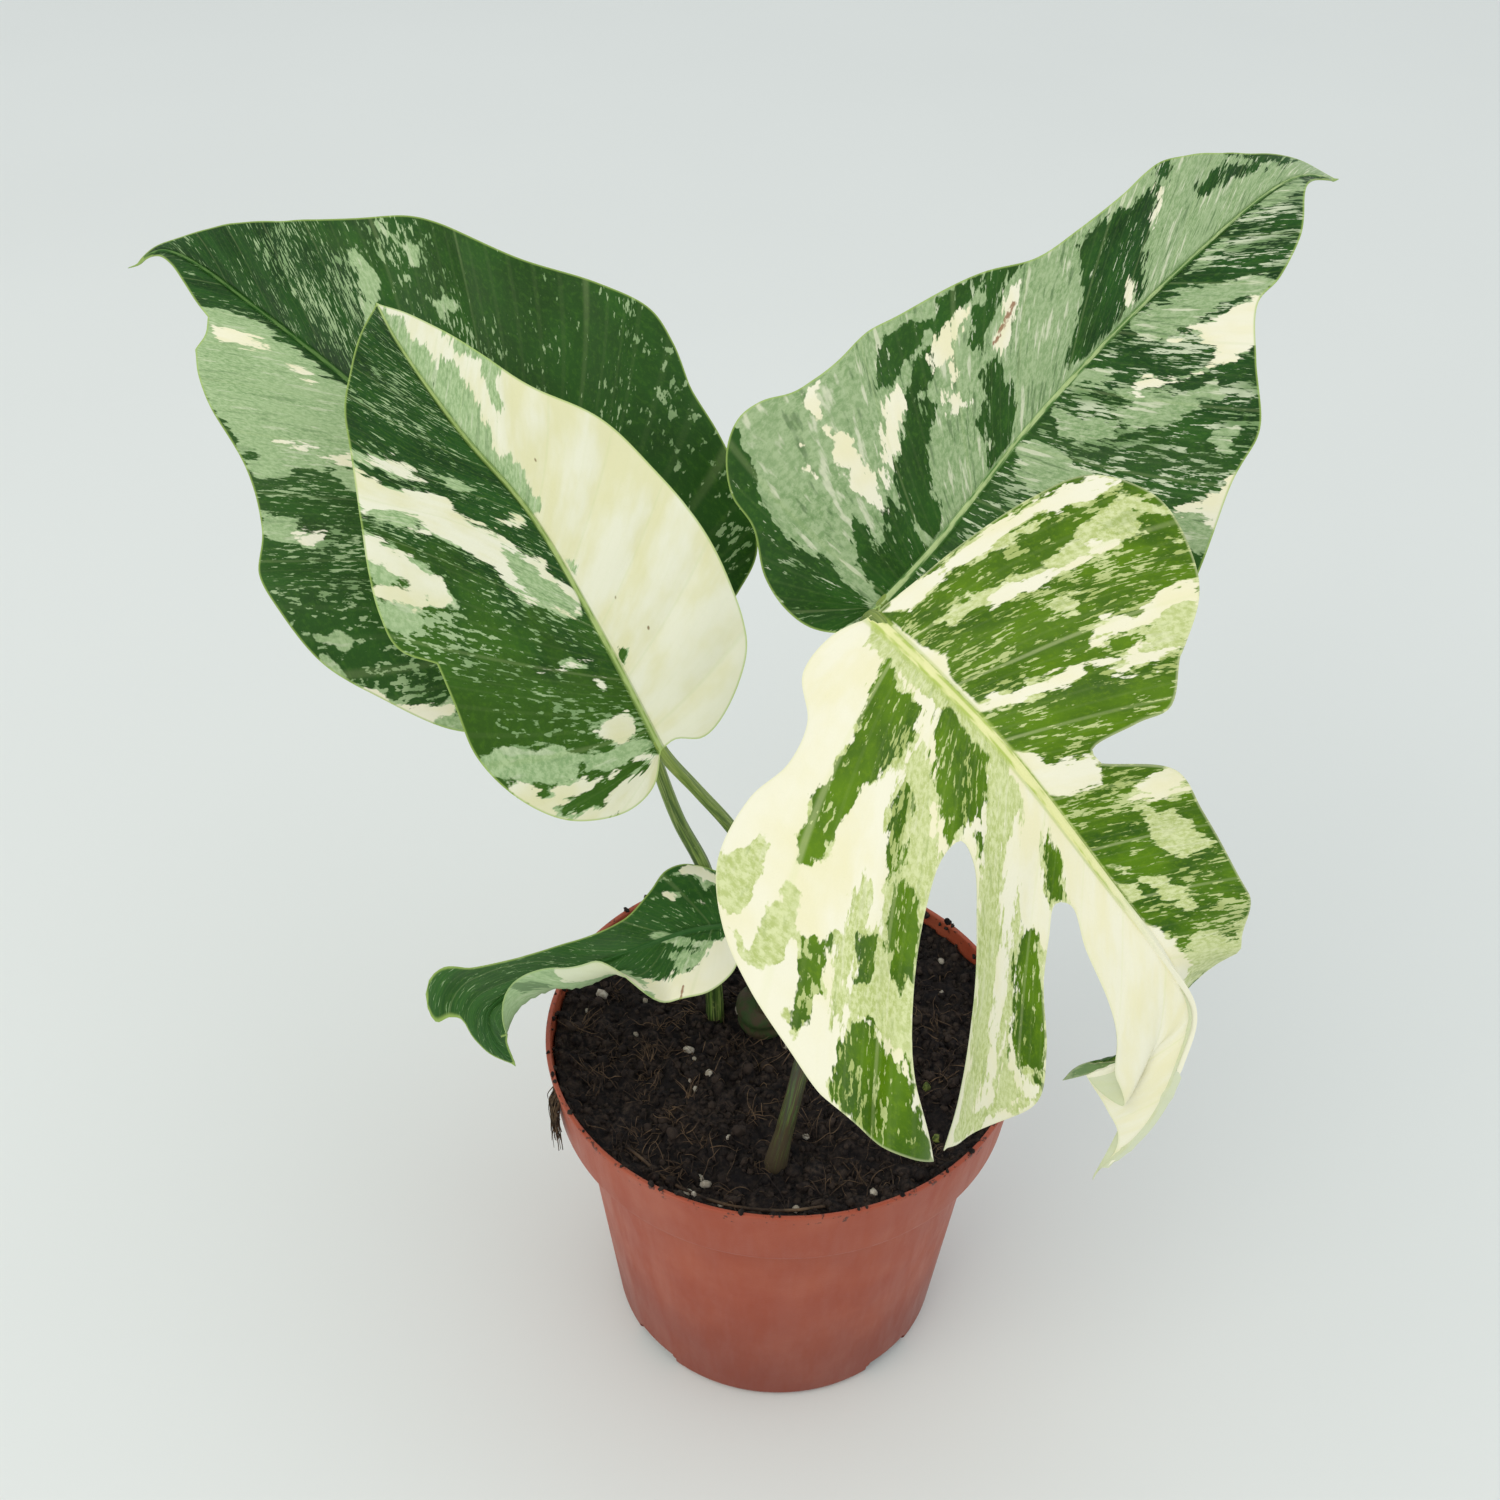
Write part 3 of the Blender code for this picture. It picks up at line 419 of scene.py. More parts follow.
              (15, -18), (21, -16), (25, -15), (26, -13), (28, -12), (32, -11), (29, -13), (25, -9))),
        ("S", ((18, -4), (14, -4), (8, -6), (11, -9), (14, -10), (18, -9))),
        ("C", ((15, 14), (13, 15), (9, 17), (5, 16), (2, 12), (2, 11), (5, 12), (6, 9), (6, 13), (11, 14),
              (14, 14))),
        ("S", ((22, 2), (18, 2), (12, -2), (6, -5), (13, -4), (18, -1))),
        ("C", ((9, 8), (7, 8), (6, 6), (8, 6))),
        ("C", ((14, 10), (12, 10), (12, 9), (13, 9))),
        ("S", ((19, 10), (17, 11), (17, 10), (19, 9))),
        ("S", ((27, -7), (34, -4), (46, -4), (58, -6), (62, -10), (56, -16), (40, -18), (24, -17))),
        ("C", ((27, -11), (34, -9), (42, -11), (46, -17), (26, -18))),
        ("D", ((44, -8), (52, -9), (55, -13), (48, -12))),
    ),
}

# The skin of each leaf, where it differs from the first row. Colours are sRGB hex codes. broad and
# frayed are how far the marbling's edges wander, in millimetres, lobed and along the veins. The bright
# green is in fine streaks, and shows as painted sunlight by lit from the base to lit_to. fleck_level is
# rarer when higher, fleck_depth is how many more flecks the flecked areas have, gather how much they
# cluster. rib_turn is where the midrib turns pale.
LEAF_LOOKS = {
    "default": {
        "seed": 1.0, "broad": 5.0, "frayed": 4.5, "sage_lines": 0.25,
        # The bright green that lit blends in towards each blade's base is painted sunlight.
        "lit": 0.15, "lit_to": 60.0, "bright": "4C7A22", "gather": 0.45,
        "fleck_level": 0.65, "fleck_depth": 0.07, "fleck_pale": "ABC290", "fleck_stretch": 5.5,
        "specks": 0.1, "vein_strength": 0.1, "rim": "A3BE62", "rim_strength": 0.7, "rib_half": 0.8,
        "rib": "8FAC5C", "rib_edge": "3C6A2A", "rib_lines": 0.5, "rib_turn": 200.0, "rib_tip": "F0EDD3",
    },
    "back_left_leaf": {
        "seed": 3.0, "rib": "5F8242", "rib_edge": "2C5A1E", "rib_half": 0.7, "vein_strength": 0.04,
    },
    "front_left_leaf": {
        "seed": 7.0, "cream": "E6E6CC", "warm_cream": "DDDBAE", "specks": 0.85, "fleck_level": 0.67,
        # Stronger painted sunlight on the green near this blade's base.
        "lit": 0.35, "lit_to": 26.0, "bright": "4F7A16",
        "rib": "A9BE74", "rib_edge": "7F9A4C", "rib_half": 0.6,
    },
    "upper_right_leaf": {
        "seed": 12.0, "frayed": 6.5, "sage": "7C9A64", "pale_sage": "A4B98A", "sage_lines": 0.5,
        "fleck_pale": "D3DCBA", "fleck_stretch": 7.0, "fleck_depth": 0.1,
        "rib_half": 0.65, "rib": "B4C888", "rib_edge": "56803C",
        "scars": (((68, -20), (63, -18.3), (59, -17)),),
    },
    "split_leaf": {
        # Its yellower greens are painted sunlight, as if lit through the blade.
        "seed": 19.0, "dark": "557C04", "deep": "234C06", "bright": "74960A",
        "sage": "B0BE70", "pale_sage": "D6DDA4", "fleck_pale": "CBD494", "fleck_depth": 0.07, "frayed": 6.0,
        "vein": "DDE3A8", "vein_strength": 0.25, "rim": "DDE0B0", "rim_strength": 0.4,
        "rib_half": 1.1, "rib": "E8E8A6", "rib_edge": "B5C765", "rib_turn": 75.0,
    },
    "small_leaf": {
        # Its bluer greens are its own. They are lighter than the others' partly as painted sheen.
        "seed": 27.0, "dark": "2A5822", "deep": "1A4214", "fleck_depth": 0.02, "gather": 0.15, "lit": 0.1,
        "rib": "37622A", "rib_edge": "285420", "rib_lines": 0.2, "rib_half": 0.6, "vein_strength": 0.04,
        "scars": (((16.7, -12.6), (17.6, -14), (18.6, -15.4)),),
    },
}

# Each petiole: its leaf, its route from foot to blade, and its radius from foot to top.
PETIOLES = {
    "back_left_petiole": {
        "leaf": "back_left_leaf",
        "route": ((-17, 7, 78), (-17.5, 7, 92), (-18.5, 8, 112), (-20, 10, 136), (-27, 13, 151),
                  (-34, 17, 171)),
        "radii": (2.6, 2.4, 1.95, 1.9, 1.7, 1.6),
    },
    "front_left_petiole": {
        "leaf": "front_left_leaf",
        "route": ((-8, 9, 97), (-6, 8, 125), (-7, 3, 145), (-14, -4, 164), (-21, -9, 178)),
        "radii": (1.9, 1.75, 1.6, 1.5, 1.4),
    },
    "upper_right_petiole": {
        "leaf": "upper_right_leaf",
        "route": ((-2.5, 9, 97), (1, 11, 130), (7, 11, 165), (13, 9, 197)),
        "radii": (2.1, 2.0, 1.9, 1.7),
    },
    "split_petiole": {
        "leaf": "split_leaf",
        "route": ((-1.5, -40, 78), (-0.5, -40, 90), (1.3, -39, 101), (5, -36, 123), (9, -31, 160),
                  (12, -25, 205)),
        "radii": (2.7, 2.9, 2.15, 1.95, 1.9, 1.85),
    },
    "small_petiole": {
        "leaf": "small_leaf",
        "route": ((-5, 2, 97), (-6, -0, 112), (-9, -2, 122)),
        "radii": (1.7, 1.4, 1.2),
    },
}


def linear(code):
    """The linear colour of an sRGB hex code."""
    values = [int(code[i : i + 2], 16) / 255 for i in (0, 2, 4)]
    return tuple(v / 12.92 if v <= 0.04045 else ((v + 0.055) / 1.055) ** 2.4 for v in values)


def colour(name, description, code):
    return FloatVectorProperty(
        name=name, description=description, default=linear(code), subtype="COLOR", size=3, min=0.0, max=1.0
    )


def length(name, description, millimetres, low=0.0, high=1000.0):
    return FloatProperty(
        name=name, description=description, default=millimetres * MM, unit="LENGTH", subtype="DISTANCE",
        min=low * MM, max=high * MM, precision=5,
    )


def amount(name, description, count):
    return IntProperty(name=name, description=description, default=count, min=0, max=5000)


class MonsteraLeafSettings(bpy.types.PropertyGroup):
    thickness: length("Thickness", "Thickness of a blade away from its midrib", 0.45, 0.1, 2)
    spacing: length("Mesh spacing", "Side of the triangles that a blade is made of", 1.05, 0.5, 5)
    quilting: length("Quilting", "How far the blade swells between two side veins", 0.7, 0.0, 3)
    waviness: length("Waviness", "How far the margin waves", 0.8, 0.0, 5)
    dark: colour("Dark green", "Full green of the blade", "1F4C14")
    deep: colour("Deep green", "Darkest green, in the shade of the veins", "0F3208")
    sage: colour("Sage", "Half bleached green", "84A36C")
    pale_sage: colour("Pale sage", "Lightest flecks in the sage", "ABC290")
    cream: colour("Cream", "Blade without green", "F0EDD3")
    warm_cream: colour("Warm cream", "Cream along the veins", "EDE8C0")
    vein: colour("Vein", "Midrib and veins on green", "B9CB8A")


class MonsteraStalkSettings(bpy.types.PropertyGroup):
    green: colour("Green", "Petiole", "5D7C33")
    stripe: colour("Stripe", "Pale stripes along a petiole", "A9B768")
    young: colour("Young green", "Petiole near its leaf", "8FA348")
    old_green: colour("Old green", "Oldest petiole and the stem", "3E4130")
    shade: colour("Shade", "Dark stripes along a petiole", "2F451C")
    sheath: colour("Sheath", "Dry skin at a petiole's foot and on the stem", "443A26")


class MonsteraPotSettings(bpy.types.PropertyGroup):
    plastic: colour("Plastic", "Moulded pot", "9B442A")
    faded: colour("Faded plastic", "Scuffed and sun-faded pot", "AA593E")
    # The darker, browner plastic that the pot turns to towards its foot.
    darker_foot: colour("Stained plastic", "Damp foot of the pot", "7A3524")


class MonsteraSoilSettings(bpy.types.PropertyGroup):
    peat: colour("Peat", "Wet peat", "0E0B0C")
    crumb: colour("Crumbs", "Drier crumbs of peat", "42372F")
    perlite: colour("Perlite", "Expanded mineral grains", "B9B3A4")
    fibre: colour("Fibres", "Roots and bark fibres", "6B5640")
    algae: colour("Algae", "Grains that algae have turned green", "8C9648")
    relief: length("Relief", "Height of the lumps in the soil", 3.0, 0.0, 8)
    crumbs: amount("Crumbs", "Number of loose crumbs", 2600)
    grains: amount("Grains", "Number of perlite grains", 46)
    fibres: amount("Fibres", "Number of loose fibres", 420)


class MonsteraStageSettings(bpy.types.PropertyGroup):
    floor: colour("Floor", "Plain pale floor", "E4E8E2")
    sky: FloatProperty(name="Sky", description="Strength of the light all round", default=0.85, min=0.0)
    key: FloatProperty(
        name="Key", description="Power of the soft key light", default=9.0, min=0.0, unit="POWER"
    )
    lens: FloatProperty(name="Lens", description="Focal length", default=43.2, min=10.0, unit="CAMERA")


# Shared mesh code.


def arc_lengths(points):
    return np.concatenate([[0.0], np.cumsum(np.linalg.norm(np.diff(points, axis=0), axis=1))])


def smooth_through(points, steps=24):
    """A centripetal Catmull-Rom curve through the points."""
    p = np.asarray(points, float)
    p = np.vstack([2 * p[0] - p[1], p, 2 * p[-1] - p[-2]])
    out = []
    for i in range(len(p) - 3):
        a, b, c, d = p[i : i + 4]
        knots = np.cumsum([0.0] + [math.sqrt(np.linalg.norm(q - r)) for q, r in ((b, a), (c, b), (d, c))])
        t = np.linspace(knots[1], knots[2], steps, endpoint=False)[:, None]
        ab = a + (b - a) * (t - knots[0]) / (knots[1] - knots[0])
        bc = b + (c - b) * (t - knots[1]) / (knots[2] - knots[1])
        cd = c + (d - c) * (t - knots[2]) / (knots[3] - knots[2])
        abc = ab + (bc - ab) * (t - knots[0]) / (knots[2] - knots[0])
        bcd = bc + (cd - bc) * (t - knots[1]) / (knots[3] - knots[1])
        out.append(abc + (bcd - abc) * (t - knots[1]) / (knots[2] - knots[1]))
    out.append(p[-2:-1])
    return np.vstack(out)


def evenly_spaced(points, spacing):
    """The same curve with its points about one spacing apart, both ends kept."""
    along = arc_lengths(points)
    count = max(2, round(along[-1] / spacing) + 1)
    at = np.linspace(0, along[-1], count)
    return np.stack([np.interp(at, along, points[:, k]) for k in range(points.shape[1])], axis=-1)


def eased(rows, shares):
    """Each column of the rows after the first, interpolated with smooth steps between the rows."""
    rows = np.asarray(rows, float)
    shares = np.clip(shares, rows[0, 0], rows[-1, 0])
    i = np.clip(np.searchsorted(rows[:, 0], shares, side="right") - 1, 0, len(rows) - 2)
    t = (shares - rows[i, 0]) / (rows[i + 1, 0] - rows[i, 0])
    t = (t * t * (3 - 2 * t))[:, None]
    return rows[i, 1:] * (1 - t) + rows[i + 1, 1:] * t


def smoothstep(low, high, values):
    t = np.clip((values - low) / (high - low), 0, 1)
    return t * t * (3 - 2 * t)


def unit(vectors):
    return vectors / np.linalg.norm(vectors, axis=-1, keepdims=True)


def noise_at(points, size, seed=0.0):
    """Smooth noise from -1 to 1 at the points, with lumps of about this size."""
    shifted = np.asarray(points) / size + (seed, -seed, 2 * seed)
    return np.array([noise.noise(place) for place in shifted])


def signed_distance(points, outline):
    """Distance of each point from the closed outline, positive inside."""
    a, b = outline, np.roll(outline, -1, axis=0)
    edge = b - a
    rise = np.where(edge[:, 1] == 0, 1.0, edge[:, 1])
    size = np.maximum(np.sum(edge**2, axis=-1), 1e-12)
    out = np.empty(len(points))
    for start in range(0, len(points), 2000):
        p = points[start : start + 2000, None]
        crosses = (a[:, 1] > p[..., 1]) != (b[:, 1] > p[..., 1])
        hit = a[:, 0] + (p[..., 1] - a[:, 1]) * edge[:, 0] / rise
        inside = np.sum(crosses & (p[..., 0] < hit), axis=1) % 2 == 1
        share = np.clip(np.sum((p - a) * edge, axis=-1) / size, 0, 1)
        away = np.linalg.norm(p - a - share[..., None] * edge, axis=-1).min(axis=1)
        out[start : start + 2000] = np.where(inside, away, -away)
    return out


def flat_sheet(outline, spacing, extra=None, clear=None):
    """The inside of an outline as a flat sheet of even triangles: its points and faces. The grid
    leaves out the points that clear picks, and takes in the extra ones."""
    low, high = outline.min(axis=0), outline.max(axis=0)
    step = spacing * math.sqrt(3) / 2
    grid = []
    for row in range(math.floor(low[1] / step), math.ceil(high[1] / step) + 1):
        across = np.arange(low[0] + (row % 2) * spacing / 2, high[0], spacing)
        grid.append(np.column_stack([across, np.full(len(across), row * step)]))
    grid = np.vstack(grid)
    if clear is not None:
        grid = grid[~clear(grid)]
    if extra is not None:
        grid = np.vstack([grid, extra])
    grid = grid[signed_distance(grid, outline) > 0.5 * spacing]
    points = np.vstack([outline, grid])
    edges = wrapped(len(outline))
    flat, _, faces, _, _, _ = delaunay_2d_cdt([tuple(p) for p in points], edges, [], 1, 1e-5)
    return np.array([tuple(p) for p in flat]), np.array(faces, int)


def wrapped(count):
    """Each step round a ring with the one after it."""
    return [(j, (j + 1) % count) for j in range(count)]


def border(faces):
    """The directed edges of triangles that only one of them uses."""
    edges = np.vstack([faces[:, [0, 1]], faces[:, [1, 2]], faces[:, [2, 0]]])
    keys = {(int(a), int(b)) for a, b in edges}
    return np.array([e for e in keys if (e[1], e[0]) not in keys], int)


def point_normals(points, faces):
    corners = points[faces]
    cross = np.cross(corners[:, 1] - corners[:, 0], corners[:, 2] - corners[:, 0])
    out = np.zeros_like(points)
    for k in range(3):
        np.add.at(out, faces[:, k], cross)
    return unit(out)


def new_piece(name, points, faces, material, replaces=(), attributes=None, sharp=50.0):
    """A mesh piece in metres from points in millimetres, riding on the plant's one body."""
    mesh = bpy.data.meshes.new(name)
    mesh.from_pydata((np.asarray(points, float) * MM).tolist(), [], [tuple(map(int, f)) for f in faces])
    for key, values in (attributes or {}).items():
        kind, field = ("FLOAT", "value") if np.ndim(values) == 1 else ("FLOAT_VECTOR", "vector")
        made = mesh.attributes.new(key, kind, "POINT")
        made.data.foreach_set(field, np.asarray(values, np.float32).ravel())
    mesh.shade_smooth()
    if sharp:
        mesh.set_sharp_from_angle(angle=math.radians(sharp))
    obj = bpy.data.objects.new(name, mesh)
    bpy.context.scene.collection.objects.link(obj)
    mesh.materials.append(material)
    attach(obj, BODY)
    if replaces:
        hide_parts(*replaces)
    return obj


def joined(chunks):
    """One list of points and one of faces from several."""
    points, faces, start = [], [], 0
    for some_points, some_faces in chunks:
        points.append(np.asarray(some_points, float))
        faces.extend([tuple(int(i) + start for i in face) for face in some_faces])
        start += len(some_points)
    return np.vstack(points), faces


def tube(path, radii, sides, section=None):
    """A closed tube along a path, with a radius at each point: its points and faces."""
    path = np.asarray(path, float)
    tangents = unit(np.gradient(path, axis=0))
    across = np.cross(tangents[0], (0.0, 1.0, 0.0) if abs(tangents[0][1]) < 0.9 else (1.0, 0.0, 0.0))
    angles = np.linspace(0, math.tau, sides, endpoint=False)
    shape = np.ones(sides) if section is None else section(angles)
    rings = []
    for place, tangent, radius in zip(path, tangents, radii):
        across = unit(across - np.dot(across, tangent) * tangent)
        up = np.cross(tangent, across)
        reach = (radius * shape)[:, None]
        rings.append(place + reach * (np.cos(angles)[:, None] * across + np.sin(angles)[:, None] * up))
    points = np.vstack(rings + [path[:1], path[-1:]])
    last = (len(path) - 1) * sides
    faces = []
    for start in range(0, last, sides):
        faces += [(start + j, start + k, start + sides + k, start + sides + j) for j, k in wrapped(sides)]
    for j, k in wrapped(sides):
        faces.append((len(points) - 2, k, j))
        faces.append((len(points) - 1, last + j, last + k))
    return points, faces


# Shared material code.


def new_material(name):
    made = bpy.data.materials.new(name)
    made.use_nodes = True
    tree = made.node_tree
    return made, tree, tree.nodes["Principled BSDF"]


def add(tree, kind, inputs=None, **settings):
    """Adds a node with its settings, and with each input linked or set."""
    node = tree.nodes.new(kind)
    for key, value in settings.items():
        setattr(node, key, value)
    for key, value in (inputs or {}).items():
        if isinstance(value, bpy.types.NodeSocket):
            tree.links.new(value, node.inputs[key])
        else:
            node.inputs[key].default_value = value
    return node


def attribute(tree, name):
    """The three values that a piece's points carry under this name."""
    read = add(tree, "ShaderNodeAttribute", attribute_name=name).outputs["Vector"]
    return add(tree, "ShaderNodeSeparateXYZ", {0: read}).outputs


def maths(tree, operation, *values):
    return add(tree, "ShaderNodeMath", dict(enumerate(values)), operation=operation).outputs[0]


def nudged(tree, value, noise_value, reach):
    """The value, moved up or down by half the reach at most as the noise says."""
    return maths(tree, "MULTIPLY_ADD", maths(tree, "SUBTRACT", noise_value, 0.5), reach, value)


def from_whole(tree, value, times):
    """How far so many times the value is from a whole number."""
    part = maths(tree, "FRACT", maths(tree, "MULTIPLY_ADD", value, times, 0.5))
    return maths(tree, "ABSOLUTE", maths(tree, "SUBTRACT", part, 0.5))


def opaque(value):
    return value if isinstance(value, bpy.types.NodeSocket) else (*value, 1.0)


def blended(tree, factor, first, second):
    """The colour between two, by a factor."""
    values = {0: factor, 6: opaque(first), 7: opaque(second)}
    return add(tree, "ShaderNodeMix", values, data_type="RGBA", clamp_factor=True).outputs[2]


def ramp(tree, value, low, high, start=0.0, end=1.0):
    """A smooth step of the value from low to high."""
    inputs = {"Value": value, "From Min": low, "From Max": high, "To Min": start, "To Max": end}
    return add(tree, "ShaderNodeMapRange", inputs, interpolation_type="SMOOTHSTEP").outputs[0]


def grain(tree, coordinates, size, seed=0.0, detail=2.0, roughness=0.5, stretch=(1, 1, 1)):
    """Noise from 0 to 1 with grains of this size in the coordinates' unit, stretched along an axis."""
    scale = tuple(1 / (size * s) for s in stretch)
    inputs = {"Vector": coordinates, "Scale": scale, "Location": (seed, seed * 0.37, seed * 1.7)}
    mapped = add(tree, "ShaderNodeMapping", inputs)
    inputs = {"Vector": mapped.outputs[0], "Scale": 1.0, "Detail": detail, "Roughness": roughness}
    return add(tree, "ShaderNodeTexNoise", inputs).outputs[0]


def places(tree):
    """The surface's own coordinates, in metres."""
    return add(tree, "ShaderNodeTexCoord").outputs["Object"]


def bump(tree, shader, height, distance, strength=1.0):
    inputs = {"Height": height, "Distance": distance, "Strength": strength}
    tree.links.new(add(tree, "ShaderNodeBump", inputs).outputs[0], shader.inputs["Normal"])


# Leaves.


class Midrib:
    """A leaf's midrib: its curve, with the blade's directions along it."""

    def __init__(self, leaf):
        self.curve = smooth_through(leaf["midrib"])
        self.along = arc_lengths(self.curve)
        self.length = self.along[-1]
        self.tangents = unit(np.gradient(self.curve, self.along, axis=0))
        facing = np.asarray(leaf["facing"], float)
        self.facing = np.column_stack([np.linspace(0, 1, len(facing)), facing])

    def frame(self, along):
        """Points, tangents, normals of the upper face and directions to the right, at these lengths."""
        inside = np.clip(along, 0, self.length)
        point, tangent = (
            np.stack([np.interp(inside, self.along, values[:, k]) for k in range(3)], axis=-1)
            for values in (self.curve, self.tangents)
        )
        tangent = unit(tangent)
        point = point + tangent * (along - inside)[:, None]
        facing = eased(self.facing, inside / self.length)
        normal = unit(facing - np.sum(facing * tangent, axis=-1, keepdims=True) * tangent)
        return point, tangent, normal, np.cross(tangent, normal)


def bent(leaf, flat):
    """Where the points of the flat leaf go when the blade bends along its lines of sweep."""
    midrib = Midrib(leaf)
    sweep = math.radians(leaf["sweep"])
    along, side = flat[:, 0], flat[:, 1]
    ahead = np.abs(side) / math.tan(sweep)
    point, tangent, normal, right = midrib.frame(along - ahead)
    shares = (along - ahead) / midrib.length
    left, right_hand = (eased(leaf[key], shares) for key in ("bend_left", "bend_right"))
    bend = np.radians(np.where((side < 0)[:, None], left, right_hand))
    lift, curl = bend[:, 0], bend[:, 1] / 100
    curl = np.where(np.abs(curl) < 1e-6, 1e-6, curl)
    edge = lift + curl * np.abs(side)
    outward = np.sign(side) * (np.sin(edge) - np.sin(lift)) / curl
    upward = (np.cos(lift) - np.cos(edge)) / curl
    return point + tangent * ahead[:, None] + right * outward[:, None] + normal * upward[:, None]


def margin(leaf, spacing):
    """The flat leaf's closed outline: up the right side to the tip and back down the left side."""
    sides = []
    for name, sign in (("right", 1), ("left", -1)):
        runs = [evenly_spaced(smooth_through(run), spacing)[:-1] for run in leaf[name]]
        side = np.vstack(runs + [np.array([leaf[name][-1][-1]], float)])
        sides.append(side * (1, sign))
    right, left = sides
    return np.vstack([right, left[-2:0:-1]])


def vein_angle(leaf, start, on_left, size):
    """The angle in which a side vein leaves the midrib, for its start along it."""
    both = np.radians(eased(leaf["angles"], np.maximum(start, 0) / size))
    angle = np.where(on_left, both[:, 1], both[:, 0])
    return np.minimum(angle + np.maximum(-start, 0) / FAN_RADIUS, math.radians(176))


def vein_coordinates(leaf, flat, size):
    """For each point of the flat leaf, the start of the side vein through it and its distance along it."""
    along, side, on_left = flat[:, 0], np.abs(flat[:, 1]), flat[:, 1] < 0
    low = np.full(len(flat), -FAN_RADIUS * 2.0)
    high = np.full(len(flat), size + 5.0)
    for _ in range(36):
        middle = (low + high) / 2
        slope = np.tan(vein_angle(leaf, middle, on_left, size))
        reach = np.maximum(middle, 0) + side / slope + VEIN_CURVE * side**2
        ahead = reach > along
        high = np.where(ahead, middle, high)
        low = np.where(ahead, low, middle)
    start = (low + high) / 2
    return start, np.hypot(along - np.maximum(start, 0), side)


def vein_count(leaf, starts):
    """The number of the side vein at each start, with whole numbers on the veins."""
    veins = np.asarray(leaf["veins"], float)
    inside = np.interp(starts, veins, np.arange(len(veins)))
    before, after = np.minimum(starts - veins[0], 0), np.maximum(starts - veins[-1], 0)
    return inside + before / VEIN_STEP + after / VEIN_STEP


def rib_width(leaf, along, size):
    """Half the midrib's width on the upper face."""
    return leaf["rib_half"] * (1 - 0.72 * np.clip(along / size, 0, 1) ** 0.8)


def patch_fields(leaf, flat):
    """How far inside the bleached, the cream and the flecked areas each point is, in millimetres."""
    fields = np.full((len(flat), 3), -30.0)
    for tone, outline in leaf["patches"]:
        away = signed_distance(flat, np.asarray(outline, float))
        for k, (adding, clearing) in enumerate((("SC", "D"), ("C", "SD"), ("F", ""))):
            if tone in adding:
                fields[:, k] = np.maximum(fields[:, k], away)
            elif tone in clearing:
                fields[:, k] = np.minimum(fields[:, k], -away)
    return fields


def from_scars(leaf, flat):
    """How far each point is from the nearest scratch on the blade, in millimetres."""
    away = np.full(len(flat), 9.0)
    for line in leaf.get("scars", ()):
        for point in evenly_spaced(smooth_through(line), 0.3):
            away = np.minimum(away, np.hypot(*(flat - point).T))
    return away


def blade(name, leaf, settings, material):
    """One leaf blade: a thin closed shell with its midrib, quilted between its side veins."""
    spacing = settings.spacing / MM
    outline = margin(leaf, spacing)
    size = Midrib(leaf).length
    along = np.arange(1.0, size - RIB_END, spacing * 0.9)
    rows = sorted({sign * row for row in RIB_ROWS for sign in (-1, 1)})
    extra = np.array([(u, v) for v in rows for u in along])

    def beside_rib(grid):
        near = np.abs(grid[:, 1]) < RIB_ROWS[-1] + spacing * 0.6
        return near & (grid[:, 0] > 0) & (grid[:, 0] < size - RIB_END)

    flat, faces = flat_sheet(outline, spacing, extra, beside_rib)
    faces = faces[:, ::-1]
    starts, reach = vein_coordinates(leaf, flat, size)
    number = vein_count(leaf, starts)
    edge = signed_distance(flat, outline)
    side = np.abs(flat[:, 1])
    # The blade swells between its side veins, and its margin waves.
    swell = np.abs(np.sin(math.pi * number)) ** 0.8 - 0.55
    rise = settings.quilting / MM * swell * smoothstep(2, 14, reach) * smoothstep(-1, 6, edge)
    drift = noise_at(np.column_stack([starts, reach * 0.3, np.zeros(len(flat))]), 14.0, leaf["seed"])
    rise += settings.waviness / MM * drift * smoothstep(14, 0, edge) * smoothstep(3, 15, side) * 1.6
    # The midrib stands up a little from a groove on either side.
    rib = rib_width(leaf, flat[:, 0], size)
    rise += 0.3 * np.exp(-((side / rib) ** 2)) - 0.35 * np.exp(-(((side - 1.5 * rib) / (0.7 * rib)) ** 2))
    middle = bent(leaf, flat)
    normals = point_normals(middle, faces)
    middle = middle + normals * rise[:, None]
    normals = point_normals(middle, faces)
    # The blade thins to its margin. Below, the midrib is a strong ridge and the side veins fine ones.
    half = settings.thickness / MM / 2 * (0.45 + 0.55 * smoothstep(-0.1, 1.5, edge))
    ridge = 1.7 * rib * np.exp(-((side / (1.3 * rib)) ** 2)) * smoothstep(size, size * 0.6, flat[:, 0])
    from_vein = np.abs(number - np.round(number)) * VEIN_STEP
    veins = 0.22 * np.exp(-((from_vein / 0.8) ** 2)) * smoothstep(0, 3, edge)
    upper = middle + normals * half[:, None]
    lower = middle - normals * (half + ridge + veins)[:, None]
    count = len(flat)
    rim = [(b, a, a + count, b + count) for a, b in border(faces)]
    shell = [*map(tuple, faces), *map(tuple, faces[:, ::-1] + count), *rim]
    vein_data = np.column_stack([starts, np.sign(flat[:, 1]) * reach, number])
    blade_data = np.column_stack([side / rib, edge, np.zeros(count)])
    under = blade_data + (0, 0, 1)
    attributes = {
        "vein": np.vstack([vein_data, vein_data]),
        "blade": np.vstack([blade_data, under]),
        "patches": np.tile(patch_fields(leaf, flat), (2, 1)),
        "scar": np.tile(from_scars(leaf, flat), 2),
    }
    points = np.vstack([upper, lower])
    new_piece(f"{name}_blade", points, shell, material, (name,), attributes)


def frayed_edge(tree, field, loose, noises):
    """A mask of where the field is positive, with its edge pushed to and fro by the noises."""
    shift = 0.0
    for value, reach in noises:
        shift = nudged(tree, shift, value, reach)
    return ramp(tree, maths(tree, "MULTIPLY_ADD", shift, loose, field), -0.25, 0.25)


